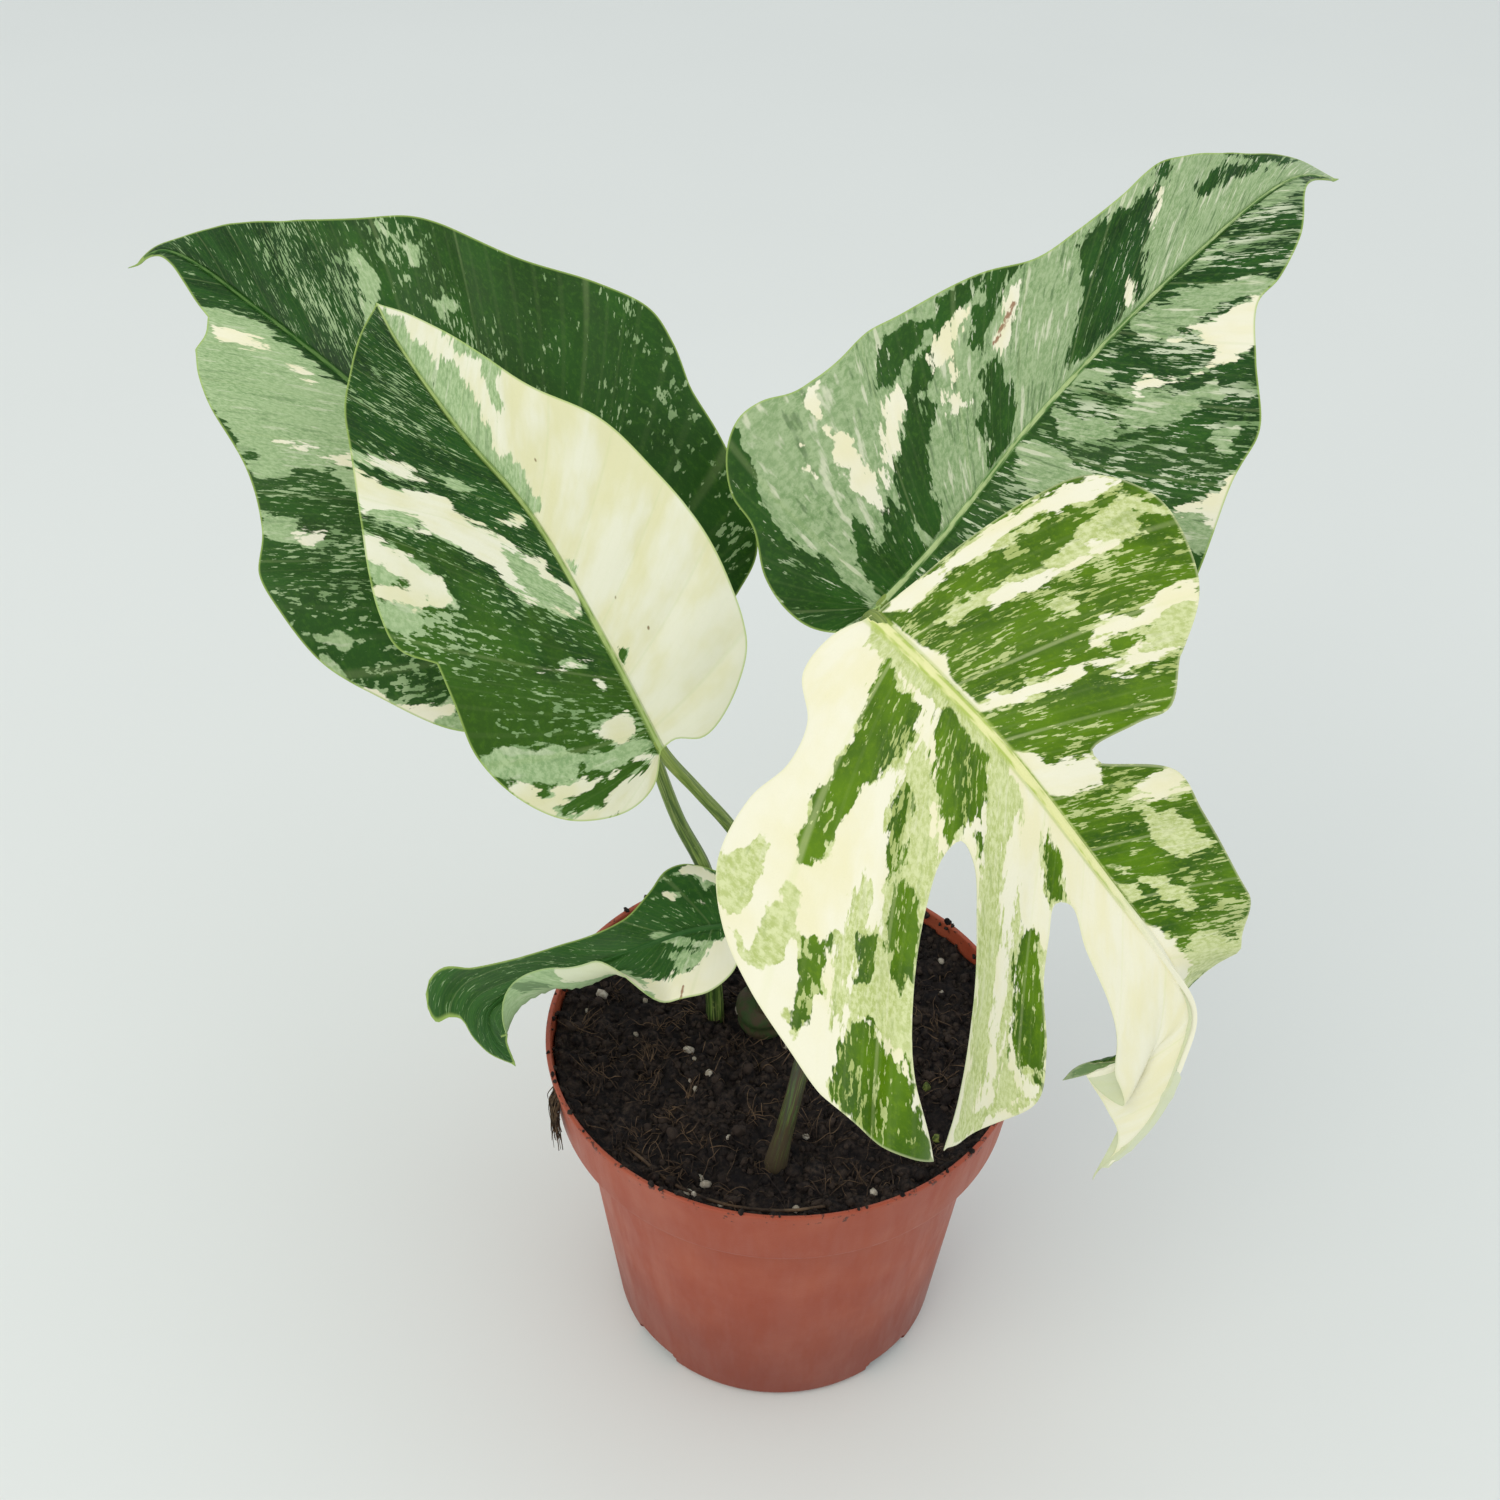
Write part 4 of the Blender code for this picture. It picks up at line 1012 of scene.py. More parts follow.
def leaf_skin(name, leaf):
    """Waxy leaf skin, grown. The wax gives a soft sheen, and the marbling follows the side veins:
    dark green, half bleached sage and cream, with flecks along the veins and a pale thin margin."""
    made, tree, shader = new_material(f"waxy_leaf_skin_{name}")
    seed = leaf["seed"]
    start, reach, count = attribute(tree, "vein")
    from_rib, from_edge, under = attribute(tree, "blade")
    bleached, creamy, flecked = attribute(tree, "patches")
    streaks = add(tree, "ShaderNodeCombineXYZ", {0: start, 1: reach, 2: 0.0}).outputs[0]

    # Lobed edges of about 6 mm, and frayed ones of about 1 mm drawn out along the veins.
    broad = grain(tree, streaks, 4.0, seed, 2.0, 0.5, (1, 3, 1))
    frayed = grain(tree, streaks, 1.1, seed + 5, 3.0, 0.6, (1, 3.5, 1))
    loose = ramp(tree, from_rib, 1.0, 7.0, 0.1, 1.0)
    is_sage = frayed_edge(tree, bleached, loose, ((broad, leaf["broad"]), (frayed, leaf["frayed"])))
    other = grain(tree, streaks, 4.0, seed + 11, 2.0, 0.5, (1, 3, 1))
    other_frayed = grain(tree, streaks, 1.0, seed + 17, 3.0, 0.6, (1, 4, 1))
    is_cream = frayed_edge(tree, creamy, loose, ((other, leaf["broad"]), (other_frayed, leaf["frayed"])))

    # Flecks of under a millimetre, drawn out along the veins, which gather in places.
    fleck = grain(tree, streaks, 0.58, seed + 23, 3.0, 0.6, (1, leaf["fleck_stretch"], 1))
    gathering = grain(tree, streaks, 8.0, seed + 31, 2.0, 0.5, (1, 2.5, 1))
    density = ramp(tree, flecked, -5.0, 5.0, 0.0, leaf["fleck_depth"])
    density = nudged(tree, density, gathering, leaf["gather"])
    level = maths(tree, "SUBTRACT", leaf["fleck_level"], density)
    is_fleck = ramp(tree, maths(tree, "SUBTRACT", fleck, level), -0.02, 0.03)

    # The green, deeper in broad clouds and brighter in fine streaks. Painted sunlight brightens it
    # towards the leaf's base.
    shade = grain(tree, streaks, 7.0, seed + 41, 3.0, 0.55, (1, 2.5, 1))
    green = blended(tree, ramp(tree, shade, 0.3, 0.7), leaf["deep"], leaf["dark"])
    fine = grain(tree, streaks, 0.6, seed + 47, 3.0, 0.7, (1, 2.2, 1))
    green = blended(tree, ramp(tree, fine, 0.45, 0.75, 0.0, 0.35), green, leaf["bright"])
    drift = grain(tree, streaks, 12.0, seed + 53, 2.0, 0.5)
    # Painted sunlight: the bright green, blended in from the base up to lit_to.
    toward_base = nudged(tree, start, drift, -60.0)
    is_lit = ramp(tree, toward_base, leaf["lit_to"] + 12.0, leaf["lit_to"] - 12.0, 0.0, leaf["lit"])
    green = blended(tree, is_lit, green, leaf["bright"])
    fleck_tone = blended(tree, ramp(tree, shade, 0.4, 0.6), leaf["sage"], leaf["fleck_pale"])
    green = blended(tree, maths(tree, "MULTIPLY", is_fleck, 0.85), green, fleck_tone)

    # The half bleached sage, with thin drawn-out lines of cream and green, and the cream.
    sage = blended(tree, ramp(tree, fine, 0.35, 0.65), leaf["sage"], leaf["pale_sage"])
    sage = blended(tree, ramp(tree, shade, 0.35, 0.75, 0.0, 0.45), sage, leaf["pale_sage"])
    drawn = grain(tree, streaks, 1.3, seed + 61, 3.0, 0.6, (1, 9, 1))
    sage = blended(tree, ramp(tree, drawn, 0.56, 0.66, 0.0, leaf["sage_lines"]), sage, leaf["cream"])
    sage = blended(tree, ramp(tree, drawn, 0.43, 0.34, 0.0, leaf["sage_lines"]), sage, leaf["dark"])
    cream = blended(tree, ramp(tree, shade, 0.35, 0.7), leaf["cream"], leaf["warm_cream"])
    skin = blended(tree, is_sage, green, sage)
    skin = blended(tree, is_cream, skin, cream)

    # Rare brown specks where the cream has dried.
    spots = add(tree, "ShaderNodeTexVoronoi", {"Vector": streaks, "Scale": 0.1, "Randomness": 1.0})
    chosen = add(tree, "ShaderNodeSeparateColor", {0: spots.outputs["Color"]}).outputs[0]
    chosen = ramp(tree, chosen, 1 - leaf["specks"], 1.02 - leaf["specks"])
    speck = maths(tree, "MULTIPLY", ramp(tree, spots.outputs["Distance"], 0.05, 0.025), chosen)
    speck = maths(tree, "MULTIPLY", speck, is_cream)
    skin = blended(tree, maths(tree, "MULTIPLY", speck, 0.85), skin, linear("7A6440"))

    # A rust-brown scratch half a millimetre wide.
    scar = add(tree, "ShaderNodeAttribute", attribute_name="scar").outputs["Fac"]
    torn = nudged(tree, scar, fine, 1.2)
    skin = blended(tree, ramp(tree, torn, 0.6, 0.25, 0.0, 0.85), skin, linear("8A5A35"))

    # Side veins, half a millimetre wide, with fainter ones between them.
    side_vein = ramp(tree, from_whole(tree, count, 1.0), 0.035, 0.008)
    strength = ramp(tree, from_edge, 1.0, 14.0, 0.1, leaf["vein_strength"])
    skin = blended(tree, maths(tree, "MULTIPLY", side_vein, strength), skin, leaf["vein"])
    between = ramp(tree, from_whole(tree, count, 6.0), 0.14, 0.04, 0.0, 0.025)
    skin = blended(tree, between, skin, leaf["vein"])

    # The midrib, pale in its middle with darker lines beside it.
    rib_grain = grain(tree, streaks, 1.5, seed + 3, 2.0, 0.5, (3, 1, 1))
    rib_tone = blended(tree, ramp(tree, rib_grain, 0.4, 0.6), leaf["rib"], leaf["rib_edge"])
    to_tip = ramp(tree, start, leaf["rib_turn"] - 15.0, leaf["rib_turn"] + 15.0)
    lines = ramp(tree, to_tip, 0.0, 1.0, leaf["rib_lines"], 0.0)
    beside = maths(tree, "MULTIPLY", ramp(tree, from_rib, 2.0, 1.3), lines)
    skin = blended(tree, beside, skin, leaf["rib_edge"])
    rib_tone = blended(tree, to_tip, rib_tone, leaf["rib_tip"])
    middle = blended(tree, to_tip, leaf["rib"], leaf["rib_tip"])
    skin = blended(tree, ramp(tree, from_rib, 1.05, 0.75), skin, rib_tone)
    skin = blended(tree, ramp(tree, from_rib, 0.55, 0.2, 0.0, 0.8), skin, middle)

    # The thin pale rim, and the paler and duller back.
    skin = blended(tree, ramp(tree, from_edge, 0.55, 0.1, 0.0, leaf["rim_strength"]), skin, leaf["rim"])
    is_under = ramp(tree, under, 0.3, 0.7)
    dull = blended(tree, 0.42, skin, linear("9DB68A"))
    skin = blended(tree, is_under, skin, dull)
    tree.links.new(skin, shader.inputs["Base Color"])

    rough = ramp(tree, shade, 0.3, 0.7, 0.36, 0.5)
    rough = maths(tree, "MULTIPLY_ADD", is_under, 0.15, rough)
    tree.links.new(rough, shader.inputs["Roughness"])
    shader.inputs["Specular IOR Level"].default_value = 0.17
    # The skin's cells are 0.05 mm, too fine to show, and are drawn at 0.6 mm.
    cells = grain(tree, places(tree), 0.0006, 0.0, 3.0, 0.6)
    height = maths(tree, "MULTIPLY_ADD", fine, 0.6, cells)
    bump(tree, shader, height, 0.00012, 0.5)
    return made


class MONSTERA_OT_leaves(bpy.types.Operator):
    """Builds the five leaf blades"""

    bl_idname = "monstera.leaves"
    bl_label = "Leaves"

    def execute(self, context):
        settings = context.scene.monstera_leaf
        for name, leaf in LEAVES.items():
            leaf = {**leaf, **LEAF_LOOKS["default"], **LEAF_LOOKS[name], "patches": PATCHES[name]}
            for key in ("dark", "deep", "sage", "pale_sage", "cream", "warm_cream", "vein"):
                leaf[key] = linear(leaf[key]) if key in leaf else getattr(settings, key)
            for key in ("bright", "fleck_pale", "rib", "rib_edge", "rib_tip", "rim"):
                leaf[key] = linear(leaf[key])
            blade(name, leaf, settings, leaf_skin(name, leaf))
        return {"FINISHED"}


# Petioles and stem.


def stalk_skin(name, settings, tones, sheath_top, young_from=0.25):
    """Green stalk skin, grown. It is smooth and ribbed lengthwise, with pale stripes, and dries to a
    brown papery sheath at its foot, up to sheath_top in millimetres. The tones are the green, the
    stripes and the shade, and they turn younger from the share young_from of the stalk's length."""
    made, tree, shader = new_material(name)
    along, turn, share = attribute(tree, "stalk")
    angle = maths(tree, "MULTIPLY", turn, math.tau)
    round_x = maths(tree, "COSINE", angle)
    round_y = maths(tree, "SINE", angle)
    lengthwise = maths(tree, "MULTIPLY", along, 0.02)
    lines = add(tree, "ShaderNodeCombineXYZ", {0: round_x, 1: round_y, 2: lengthwise}).outputs[0]
    broad = grain(tree, lines, 0.55, 2.0, 2.0, 0.5)
    thin = grain(tree, lines, 0.16, 6.0, 2.0, 0.6)
    green, stripe, shade = tones
    young = ramp(tree, share, young_from, 0.85, 0.0, 0.75)
    green = blended(tree, young, green, settings.young)
    shade = blended(tree, young, shade, settings.green)
    stripe = blended(tree, young, stripe, settings.stripe)
    skin = blended(tree, ramp(tree, broad, 0.42, 0.62), green, shade)
    skin = blended(tree, ramp(tree, thin, 0.5, 0.66, 0.0, 0.55), skin, stripe)
    spots = grain(tree, places(tree), 0.0012, 1.0, 2.0, 0.6)
    skin = blended(tree, ramp(tree, spots, 0.62, 0.72, 0.0, 0.3), skin, stripe)
    dry = nudged(tree, along, thin, 16.0)
    is_dry = ramp(tree, dry, sheath_top, sheath_top * 0.4)
    patchy = grain(tree, places(tree), 0.003, 4.0, 3.0, 0.6)
    sheath = blended(tree, ramp(tree, patchy, 0.35, 0.65), settings.sheath, tones[2])
    skin = blended(tree, is_dry, skin, sheath)
    tree.links.new(skin, shader.inputs["Base Color"])
    tree.links.new(ramp(tree, is_dry, 0.0, 1.0, 0.42, 0.75), shader.inputs["Roughness"])
    shader.inputs["Specular IOR Level"].default_value = 0.35
    bump(tree, shader, maths(tree, "MULTIPLY_ADD", patchy, 0.5, thin), 0.00025, 0.6)
    return made


def grooved(angles):
    """A stalk's cross-section: round, with shallow ribs and a flat channel on one side."""
    return 1 + 0.025 * np.cos(7 * angles) - 0.1 * np.exp(-((angles - math.pi) ** 2) / 0.25)


def add_stalk(name, petiole, material):
    """A petiole from its foot to the back of the blade, where it runs on as the midrib."""
    leaf = LEAVES[petiole["leaf"]]
    lengths = np.array([0.0, 7.0])
    points, _, normals, _ = Midrib(leaf).frame(lengths)
    top = petiole["radii"][-1]
    behind = points - normals * np.array([[top - 0.2], [top * 0.75]])
    route = np.vstack([petiole["route"], behind])
    path = evenly_spaced(smooth_through(route), 1.2)
    radii = (*petiole["radii"], top * 1.05, top * 0.45)
    shares = np.linspace(0, 1, len(path))
    marks = arc_lengths(route) / arc_lengths(route)[-1]
    widths = np.interp(shares, marks, radii)
    sides = 28
    points, faces = tube(path, widths, sides, grooved)
    along = np.append(np.repeat(arc_lengths(path), sides), [0, arc_lengths(path)[-1]])
    turn = np.append(np.tile(np.arange(sides) / sides, len(path)), [0, 0])
    attributes = {"stalk": np.column_stack([along, turn, along / along.max()])}
    new_piece(f"{name}_stalk", points, faces, material, (name,), attributes)


class MONSTERA_OT_petioles(bpy.types.Operator):
    """Builds the five petioles"""

    bl_idname = "monstera.petioles"
    bl_label = "Petioles"

    def execute(self, context):
        settings = context.scene.monstera_stalk
        tones = (settings.green, settings.stripe, settings.shade)
        plain = stalk_skin("grown_stalk_skin", settings, tones, 16.0)
        shaded = (settings.old_green, settings.green, settings.sheath)
        old = stalk_skin("grown_old_stalk_skin", settings, shaded, 30.0, 0.5)
        for name, petiole in PETIOLES.items():
            add_stalk(name, petiole, old if name == "split_petiole" else plain)
        return {"FINISHED"}


class MONSTERA_OT_stem(bpy.types.Operator):
    """Builds the short stem between the petioles"""

    bl_idname = "monstera.stem"
    bl_label = "Stem"

    def execute(self, context):
        settings = context.scene.monstera_stalk
        path = evenly_spaced(smooth_through([(STEM_X, STEM_Y, z) for _, z in STEM_PROFILE]), 0.8)
        widths = np.interp(path[:, 2], [z for _, z in STEM_PROFILE], [r for r, _ in STEM_PROFILE])
        top = STEM_PROFILE[-1][1]
        widths = widths * np.sqrt(np.clip(1 - ((path[:, 2] - top + 4) / 4.4).clip(0) ** 2, 0.02, 1))
        rings = 0.25 * np.sin(path[:, 2] * 1.6)
        points, faces = tube(path, widths + rings, 40)
        lumps = noise_at(points, 4.0, 3.0)
        middle = np.array([STEM_X, STEM_Y, 0])
        outward = (points - middle) * (1, 1, 0)
        points = points + outward * (0.07 * lumps)[:, None]
        along = points[:, 2] - STEM_PROFILE[0][1]
        turn = (np.arctan2(outward[:, 1], outward[:, 0]) / math.tau) % 1
        attributes = {"stalk": np.column_stack([along, turn, np.zeros(len(points))])}
        tones = (settings.old_green, settings.green, settings.shade)
        skin = stalk_skin("dried_stem_skin", settings, tones, 60.0)
        new_piece("stem_stub", points, faces, skin, ("stem",), attributes)
        return {"FINISHED"}


# Pot.


def rounded(profile, radius, steps=4):
    """The profile with each inner corner rounded."""
    p = np.asarray(profile, float)
    out = [p[0]]
    for a, b, c in zip(p, p[1:], p[2:]):
        reach = min(radius, np.linalg.norm(a - b) * 0.45, np.linalg.norm(c - b) * 0.45)
        start, end = b + unit(a - b) * reach, b + unit(c - b) * reach
        for t in np.linspace(0, 1, steps):
            out.append((1 - t) ** 2 * start + 2 * t * (1 - t) * b + t * t * end)
    out.append(p[-1])
    return np.array(out)


def pot_plastic(settings):
    """Terracotta-coloured polypropylene, injection moulded. Satin and slightly uneven, faded where it
    is handled, darker and browner towards its foot, with soil smeared along the rim."""
    made, tree, shader = new_material("moulded_terracotta_polypropylene")
    here = places(tree)
    _, _, height = add(tree, "ShaderNodeSeparateXYZ", {0: here}).outputs
    clouds = grain(tree, here, 0.022, 1.0, 4.0, 0.6)
    skin = blended(tree, ramp(tree, clouds, 0.35, 0.7, 0.0, 0.6), settings.plastic, settings.faded)
    # Darker and browner towards the foot, over the pot's lowest 55 mm or so.
    low = nudged(tree, height, clouds, 0.03)
    skin = blended(tree, ramp(tree, low, 0.055, 0.0, 0.0, 0.75), skin, settings.darker_foot)
    wipes = grain(tree, here, 0.006, 3.0, 4.0, 0.65, (1, 1, 5))
    skin = blended(tree, ramp(tree, wipes, 0.58, 0.8, 0.0, 0.12), skin, settings.faded)
    dirt = grain(tree, here, 0.0022, 5.0, 5.0, 0.7)
    near_rim = ramp(tree, height, 0.088, 0.0955, 0.0, 0.16)
    is_dirt = ramp(tree, maths(tree, "ADD", dirt, near_rim), 0.72, 0.76)
    skin = blended(tree, maths(tree, "MULTIPLY", is_dirt, 0.8), skin, linear("2A1A12"))
    tree.links.new(skin, shader.inputs["Base Color"])
    rough = ramp(tree, wipes, 0.3, 0.75, 0.4, 0.58)
    tree.links.new(rough, shader.inputs["Roughness"])
    shader.inputs["IOR"].default_value = 1.49
    shader.inputs["Specular IOR Level"].default_value = 0.4
    # The mould's fine spark-eroded grain, 0.4 mm, and slow waves of the thin wall.
    erosion = grain(tree, here, 0.0004, 0.0, 2.0, 0.5)
    waves = grain(tree, here, 0.012, 9.0, 2.0, 0.5)
    bump(tree, shader, maths(tree, "MULTIPLY_ADD", waves, 3.0, erosion), 0.0001, 0.5)
    return made


def notch_block(bm):
    """The rounded block that cuts a notch into the foot, from outside and below."""
    depth, width, high = (value * MM for value in NOTCH_SIZE)
    bmesh.ops.create_cube(bm, size=1.0)
    bmesh.ops.scale(bm, vec=(2 * depth, width, 2 * high), verts=bm.verts)
    bmesh.ops.bevel(bm, geom=bm.edges[:], offset=MM, segments=3, affect="EDGES")


def drain_disc(bm):
    """The disc that cuts a drain hole through the floor."""
    radius = DRAIN_RADIUS * MM
    bmesh.ops.create_cone(bm, cap_ends=True, segments=40, radius1=radius, radius2=radius, depth=4 * MM)


def cutter(name, build, reach, angle, height, turn):
    """A hidden solid at this reach and angle from the pot's axis, which a Boolean takes away."""
    bm = bmesh.new()
    build(bm)
    mesh = bpy.data.meshes.new(name)
    bm.to_mesh(mesh)
    bm.free()
    obj = bpy.data.objects.new(name, mesh)
    bpy.context.scene.collection.objects.link(obj)
    obj.location = (reach * MM * math.cos(angle), reach * MM * math.sin(angle), height)
    obj.rotation_euler = (0, 0, turn)
    obj.hide_render = True
    obj.hide_viewport = True
    obj.display_type = "WIRE"
    return obj


class MONSTERA_OT_pot(bpy.types.Operator):
    """Builds the moulded pot with its drain holes"""

    bl_idname = "monstera.pot"
    bl_label = "Pot"

    def execute(self, context):
        inner_collar = COLLAR_FOOT_RADIUS - POT_WALL
        inner_body = BODY_TOP_RADIUS - POT_WALL
        profile = rounded(
            (
                (0, POT_FLOOR),
                (FOOT_RADIUS - POT_WALL - 0.5, POT_FLOOR),
                (inner_body, BODY_TOP_Z + 1),
                (inner_collar, COLLAR_FOOT_Z + 2),
                (RIM_RADIUS - POT_WALL - 0.1, POT_HEIGHT - 3),
                (RIM_RADIUS - POT_WALL + 0.1, POT_HEIGHT),
                (RIM_RADIUS, POT_HEIGHT),
                (RIM_RADIUS - 0.25, POT_HEIGHT - 2.2),
                (COLLAR_FOOT_RADIUS, COLLAR_FOOT_Z),
                (BODY_TOP_RADIUS + 0.5, BODY_TOP_Z),
                (BODY_TOP_RADIUS - 0.4, BODY_TOP_Z - 3),
                (FOOT_RADIUS, 1.5),
                (FOOT_RADIUS - 1.5, 0),
                (0, 0),
            ),
            1.1,
        )
        rings = profile[1:-1]
        angles = np.linspace(0, math.tau, POT_STEPS, endpoint=False)
        # The thin wall is never quite round: it gives by a few tenths of a millimetre at the rim.
        oval = 1 - 0.0025 * (rings[:, 1] / POT_HEIGHT)[:, None] * (1 + np.cos(2 * angles + 0.6)) / 2
        radius = rings[:, :1] * oval
        height = np.repeat(rings[:, 1:], POT_STEPS, axis=1)
        points = np.stack([radius * np.cos(angles), radius * np.sin(angles), height], axis=-1)
        points = np.vstack([points.reshape(-1, 3), [(0, 0, POT_FLOOR), (0, 0, 0)]])
        last = (len(rings) - 1) * POT_STEPS
        steps = wrapped(POT_STEPS)
        faces = []
        for start in range(0, last, POT_STEPS):
            below = start + POT_STEPS
            faces += [(start + k, below + k, below + j, start + j) for j, k in steps]
        for j, k in steps:
            faces.append((k, j, len(points) - 2))
            faces.append((last + j, last + k, len(points) - 1))
        plastic = pot_plastic(context.scene.monstera_pot)
        pot = new_piece("moulded_pot", points, faces, plastic, ("pot",), sharp=35.0)
        cutters = []
        for i in range(NOTCH_COUNT):
            angle = math.radians(45 + i * 360 / NOTCH_COUNT)
            cutters.append(cutter(f"notch_cutter_{i}", notch_block, FOOT_RADIUS, angle, 0, angle))
        for i in range(DRAIN_COUNT):
            angle = math.tau * i / DRAIN_COUNT
            height = POT_FLOOR * MM / 2
            cutters.append(cutter(f"drain_cutter_{i}", drain_disc, DRAIN_CIRCLE_RADIUS, angle, height, 0))
        for other in cutters:
            boolean = pot.modifiers.new(other.name, "BOOLEAN")
            boolean.operation = "DIFFERENCE"
            boolean.object = other
        return {"FINISHED"}


# Soil and litter.


def soil_height(x, y):
    """The height of the soil's surface, in millimetres."""
    relief = bpy.context.scene.monstera_soil.relief / MM
    spread = math.hypot(x, y) / RIM_RADIUS
    broad = noise.noise((x / 17, y / 17, 0.3)) * 0.45
    lumps = abs(noise.noise((x / 6, y / 6, 4.1))) - 0.3
    small = noise.noise((x / 2.4, y / 2.4, 8.7)) * 0.4
    # The soil is a little domed, and smoother and higher against the pot's wall.
    wall = float(smoothstep(0.84, 0.97, np.array(spread)))
    domed = SOIL_TOP_Z + 1.2 * (1 - spread**2)
    return domed + relief * (broad + lumps) * (1 - 0.4 * wall) + relief * small + 1.7 * wall


def soil_radius(z):
    """The inside of the pot at a height, less a small gap."""
    heights = (POT_FLOOR, BODY_TOP_Z + 1, COLLAR_FOOT_Z + 2, POT_HEIGHT)
    radii = (FOOT_RADIUS - 3.5, BODY_TOP_RADIUS, COLLAR_FOOT_RADIUS, RIM_RADIUS)
    return float(np.interp(z, heights, [radius - POT_WALL for radius in radii])) - SOIL_GAP


def peat(name, settings):
    """Moist sphagnum peat, milled. Near black where wet, with drier brown crumbs, and quite matt."""
    dark, light = settings.peat, settings.crumb
    made, tree, shader = new_material(name)
    here = places(tree)
    crumbs = grain(tree, here, 0.0016, 2.0, 5.0, 0.7)
    damp = grain(tree, here, 0.012, 7.0, 3.0, 0.55)
    skin = blended(tree, ramp(tree, crumbs, 0.38, 0.72), dark, light)
    skin = blended(tree, ramp(tree, damp, 0.35, 0.7, 0.0, 0.7), skin, dark)
    tint = add(tree, "ShaderNodeAttribute", attribute_name="tint").outputs["Fac"]
    skin = blended(tree, maths(tree, "MULTIPLY", tint, 0.7), skin, light)
    tree.links.new(skin, shader.inputs["Base Color"])
    shader.inputs["Roughness"].default_value = 0.88
    shader.inputs["Specular IOR Level"].default_value = 0.2
    bump(tree, shader, crumbs, 0.0006, 1.0)
    return made


def matt_skin(name, dark, light, size, roughness):
    """A dry mineral or fibre surface, as it broke or grew. It is matt and varies between two tones, in
    grains of this size in metres."""
    made, tree, shader = new_material(name)
    mix = grain(tree, places(tree), size, 3.0, 4.0, 0.65)
    skin = blended(tree, ramp(tree, mix, 0.35, 0.7), dark, light)
    tree.links.new(skin, shader.inputs["Base Color"])
    shader.inputs["Roughness"].default_value = roughness
    shader.inputs["Specular IOR Level"].default_value = 0.25
    bump(tree, shader, mix, 0.0003, 0.8)
    return made


class MONSTERA_OT_soil(bpy.types.Operator):
    """Builds the root ball with its lumpy top"""

    bl_idname = "monstera.soil"
    bl_label = "Soil"

    def execute(self, context):
        settings = context.scene.monstera_soil
        radius = soil_radius(SOIL_TOP_Z)
        angles = np.linspace(0, math.tau, SOIL_STEPS, endpoint=False)
        outline = radius * np.column_stack([np.cos(angles), np.sin(angles)])
        flat, faces = flat_sheet(outline, SOIL_SPACING)
        heights = np.array([soil_height(x, y) for x, y in flat])
        points = np.column_stack([flat, heights])
        edges = border(faces)
        after = {int(a): int(b) for a, b in edges}
        loop = [int(edges[0][0])]
        while after[loop[-1]] != loop[0]:
            loop.append(after[loop[-1]])
        loop = np.array(loop)
        count = len(loop)
        steps = wrapped(count)
        rings, shell, above = [points], [*map(tuple, faces)], loop
        total = len(points)
        direction = unit(points[loop, :2])
        for z in (82.0, COLLAR_FOOT_Z + 2, BODY_TOP_Z + 1, 40.0, POT_FLOOR + 1.5, POT_FLOOR + 0.2):
            reach = soil_radius(z) - (2.5 if z < POT_FLOOR + 1 else 0)
            rings.append(np.column_stack([direction * reach, np.full(count, z)]))
            below = np.arange(total, total + count)
            shell += [(above[j], below[j], below[k], above[k]) for j, k in steps]
            above, total = below, total + count
        rings.append(np.array([(0, 0, POT_FLOOR + 0.2)]))
        shell += [(above[k], above[j], total) for j, k in steps]
        points = np.vstack(rings)
        skin = peat("moist_milled_peat", settings)
        attributes = {"tint": np.zeros(len(points))}
        new_piece("peat_root_ball", points, shell, skin, ("soil",), attributes, sharp=0)
        return {"FINISHED"}


def pebble(rng, template, size, squash=0.35, rough=0.3):
    """A lump from the template sphere, stretched and dented at random and turned."""
    scale = size * (1 + squash * rng.uniform(-1, 1, 3))
    dents = 1 + rough * rng.uniform(-1, 1, len(template))[:, None]
    axis = unit(rng.normal(size=3))
    turn = np.array(Matrix.Rotation(rng.uniform(0, math.tau), 3, Vector(axis)))
    return (template * dents * scale) @ turn.T


def sphere_template(subdivisions):
    bm = bmesh.new()
    bmesh.ops.create_icosphere(bm, subdivisions=subdivisions, radius=1.0)
    points = np.array([v.co[:] for v in bm.verts])
    faces = [tuple(v.index for v in f.verts) for f in bm.faces]
    bm.free()
    return points, faces


def scattered(rng, count, reach):
    """Places on the soil, evenly at random, out to this radius."""
    radius = reach * np.sqrt(rng.uniform(0, 1, count))
    angle = rng.uniform(0, math.tau, count)
    return np.column_stack([radius * np.cos(angle), radius * np.sin(angle)])


def fibre_path(rng, x, y, length, lift):
    """A loose fibre that wanders over the soil, part of it standing clear."""
    heading, turn = rng.uniform(0, math.tau), rng.normal(0, 0.12)
    points = []
    steps = max(4, int(length / 1.5))
    arch = rng.uniform(0.2, 1.0) * lift
    limit = soil_radius(SOIL_TOP_Z) - 1.0
    for i in range(steps):
        share = i / (steps - 1)
        spread = math.hypot(x, y)
        if spread > limit:
            x, y = x * limit / spread, y * limit / spread
        z = soil_height(x, y) + 0.35 + arch * math.sin(math.pi * share)
        points.append((x, y, z))
        heading += turn + rng.normal(0, 0.22)
        x += math.cos(heading) * length / steps
        y += math.sin(heading) * length / steps
    return np.array(points)


def strand(rng, points, steps, spacing, widths, taper):
    """A fibre through the points, which thins to a share of its first width."""
    path = evenly_spaced(smooth_through(points, steps), spacing)
    width = rng.uniform(*widths)
    return tube(path, np.linspace(width, width * taper, len(path)), 5)


def half_sunk(rng, spots, smallest, largest, rough):
    """Grains of random size that lie in the soil at these spots."""
    template, triangles = sphere_template(2)
    chunks = []
    for x, y in spots:
        size = rng.uniform(smallest, largest)
        lump = pebble(rng, template, size, 0.3, rough)
        chunks.append((lump + (x, y, soil_height(x, y) + size * 0.3), triangles))
    return chunks


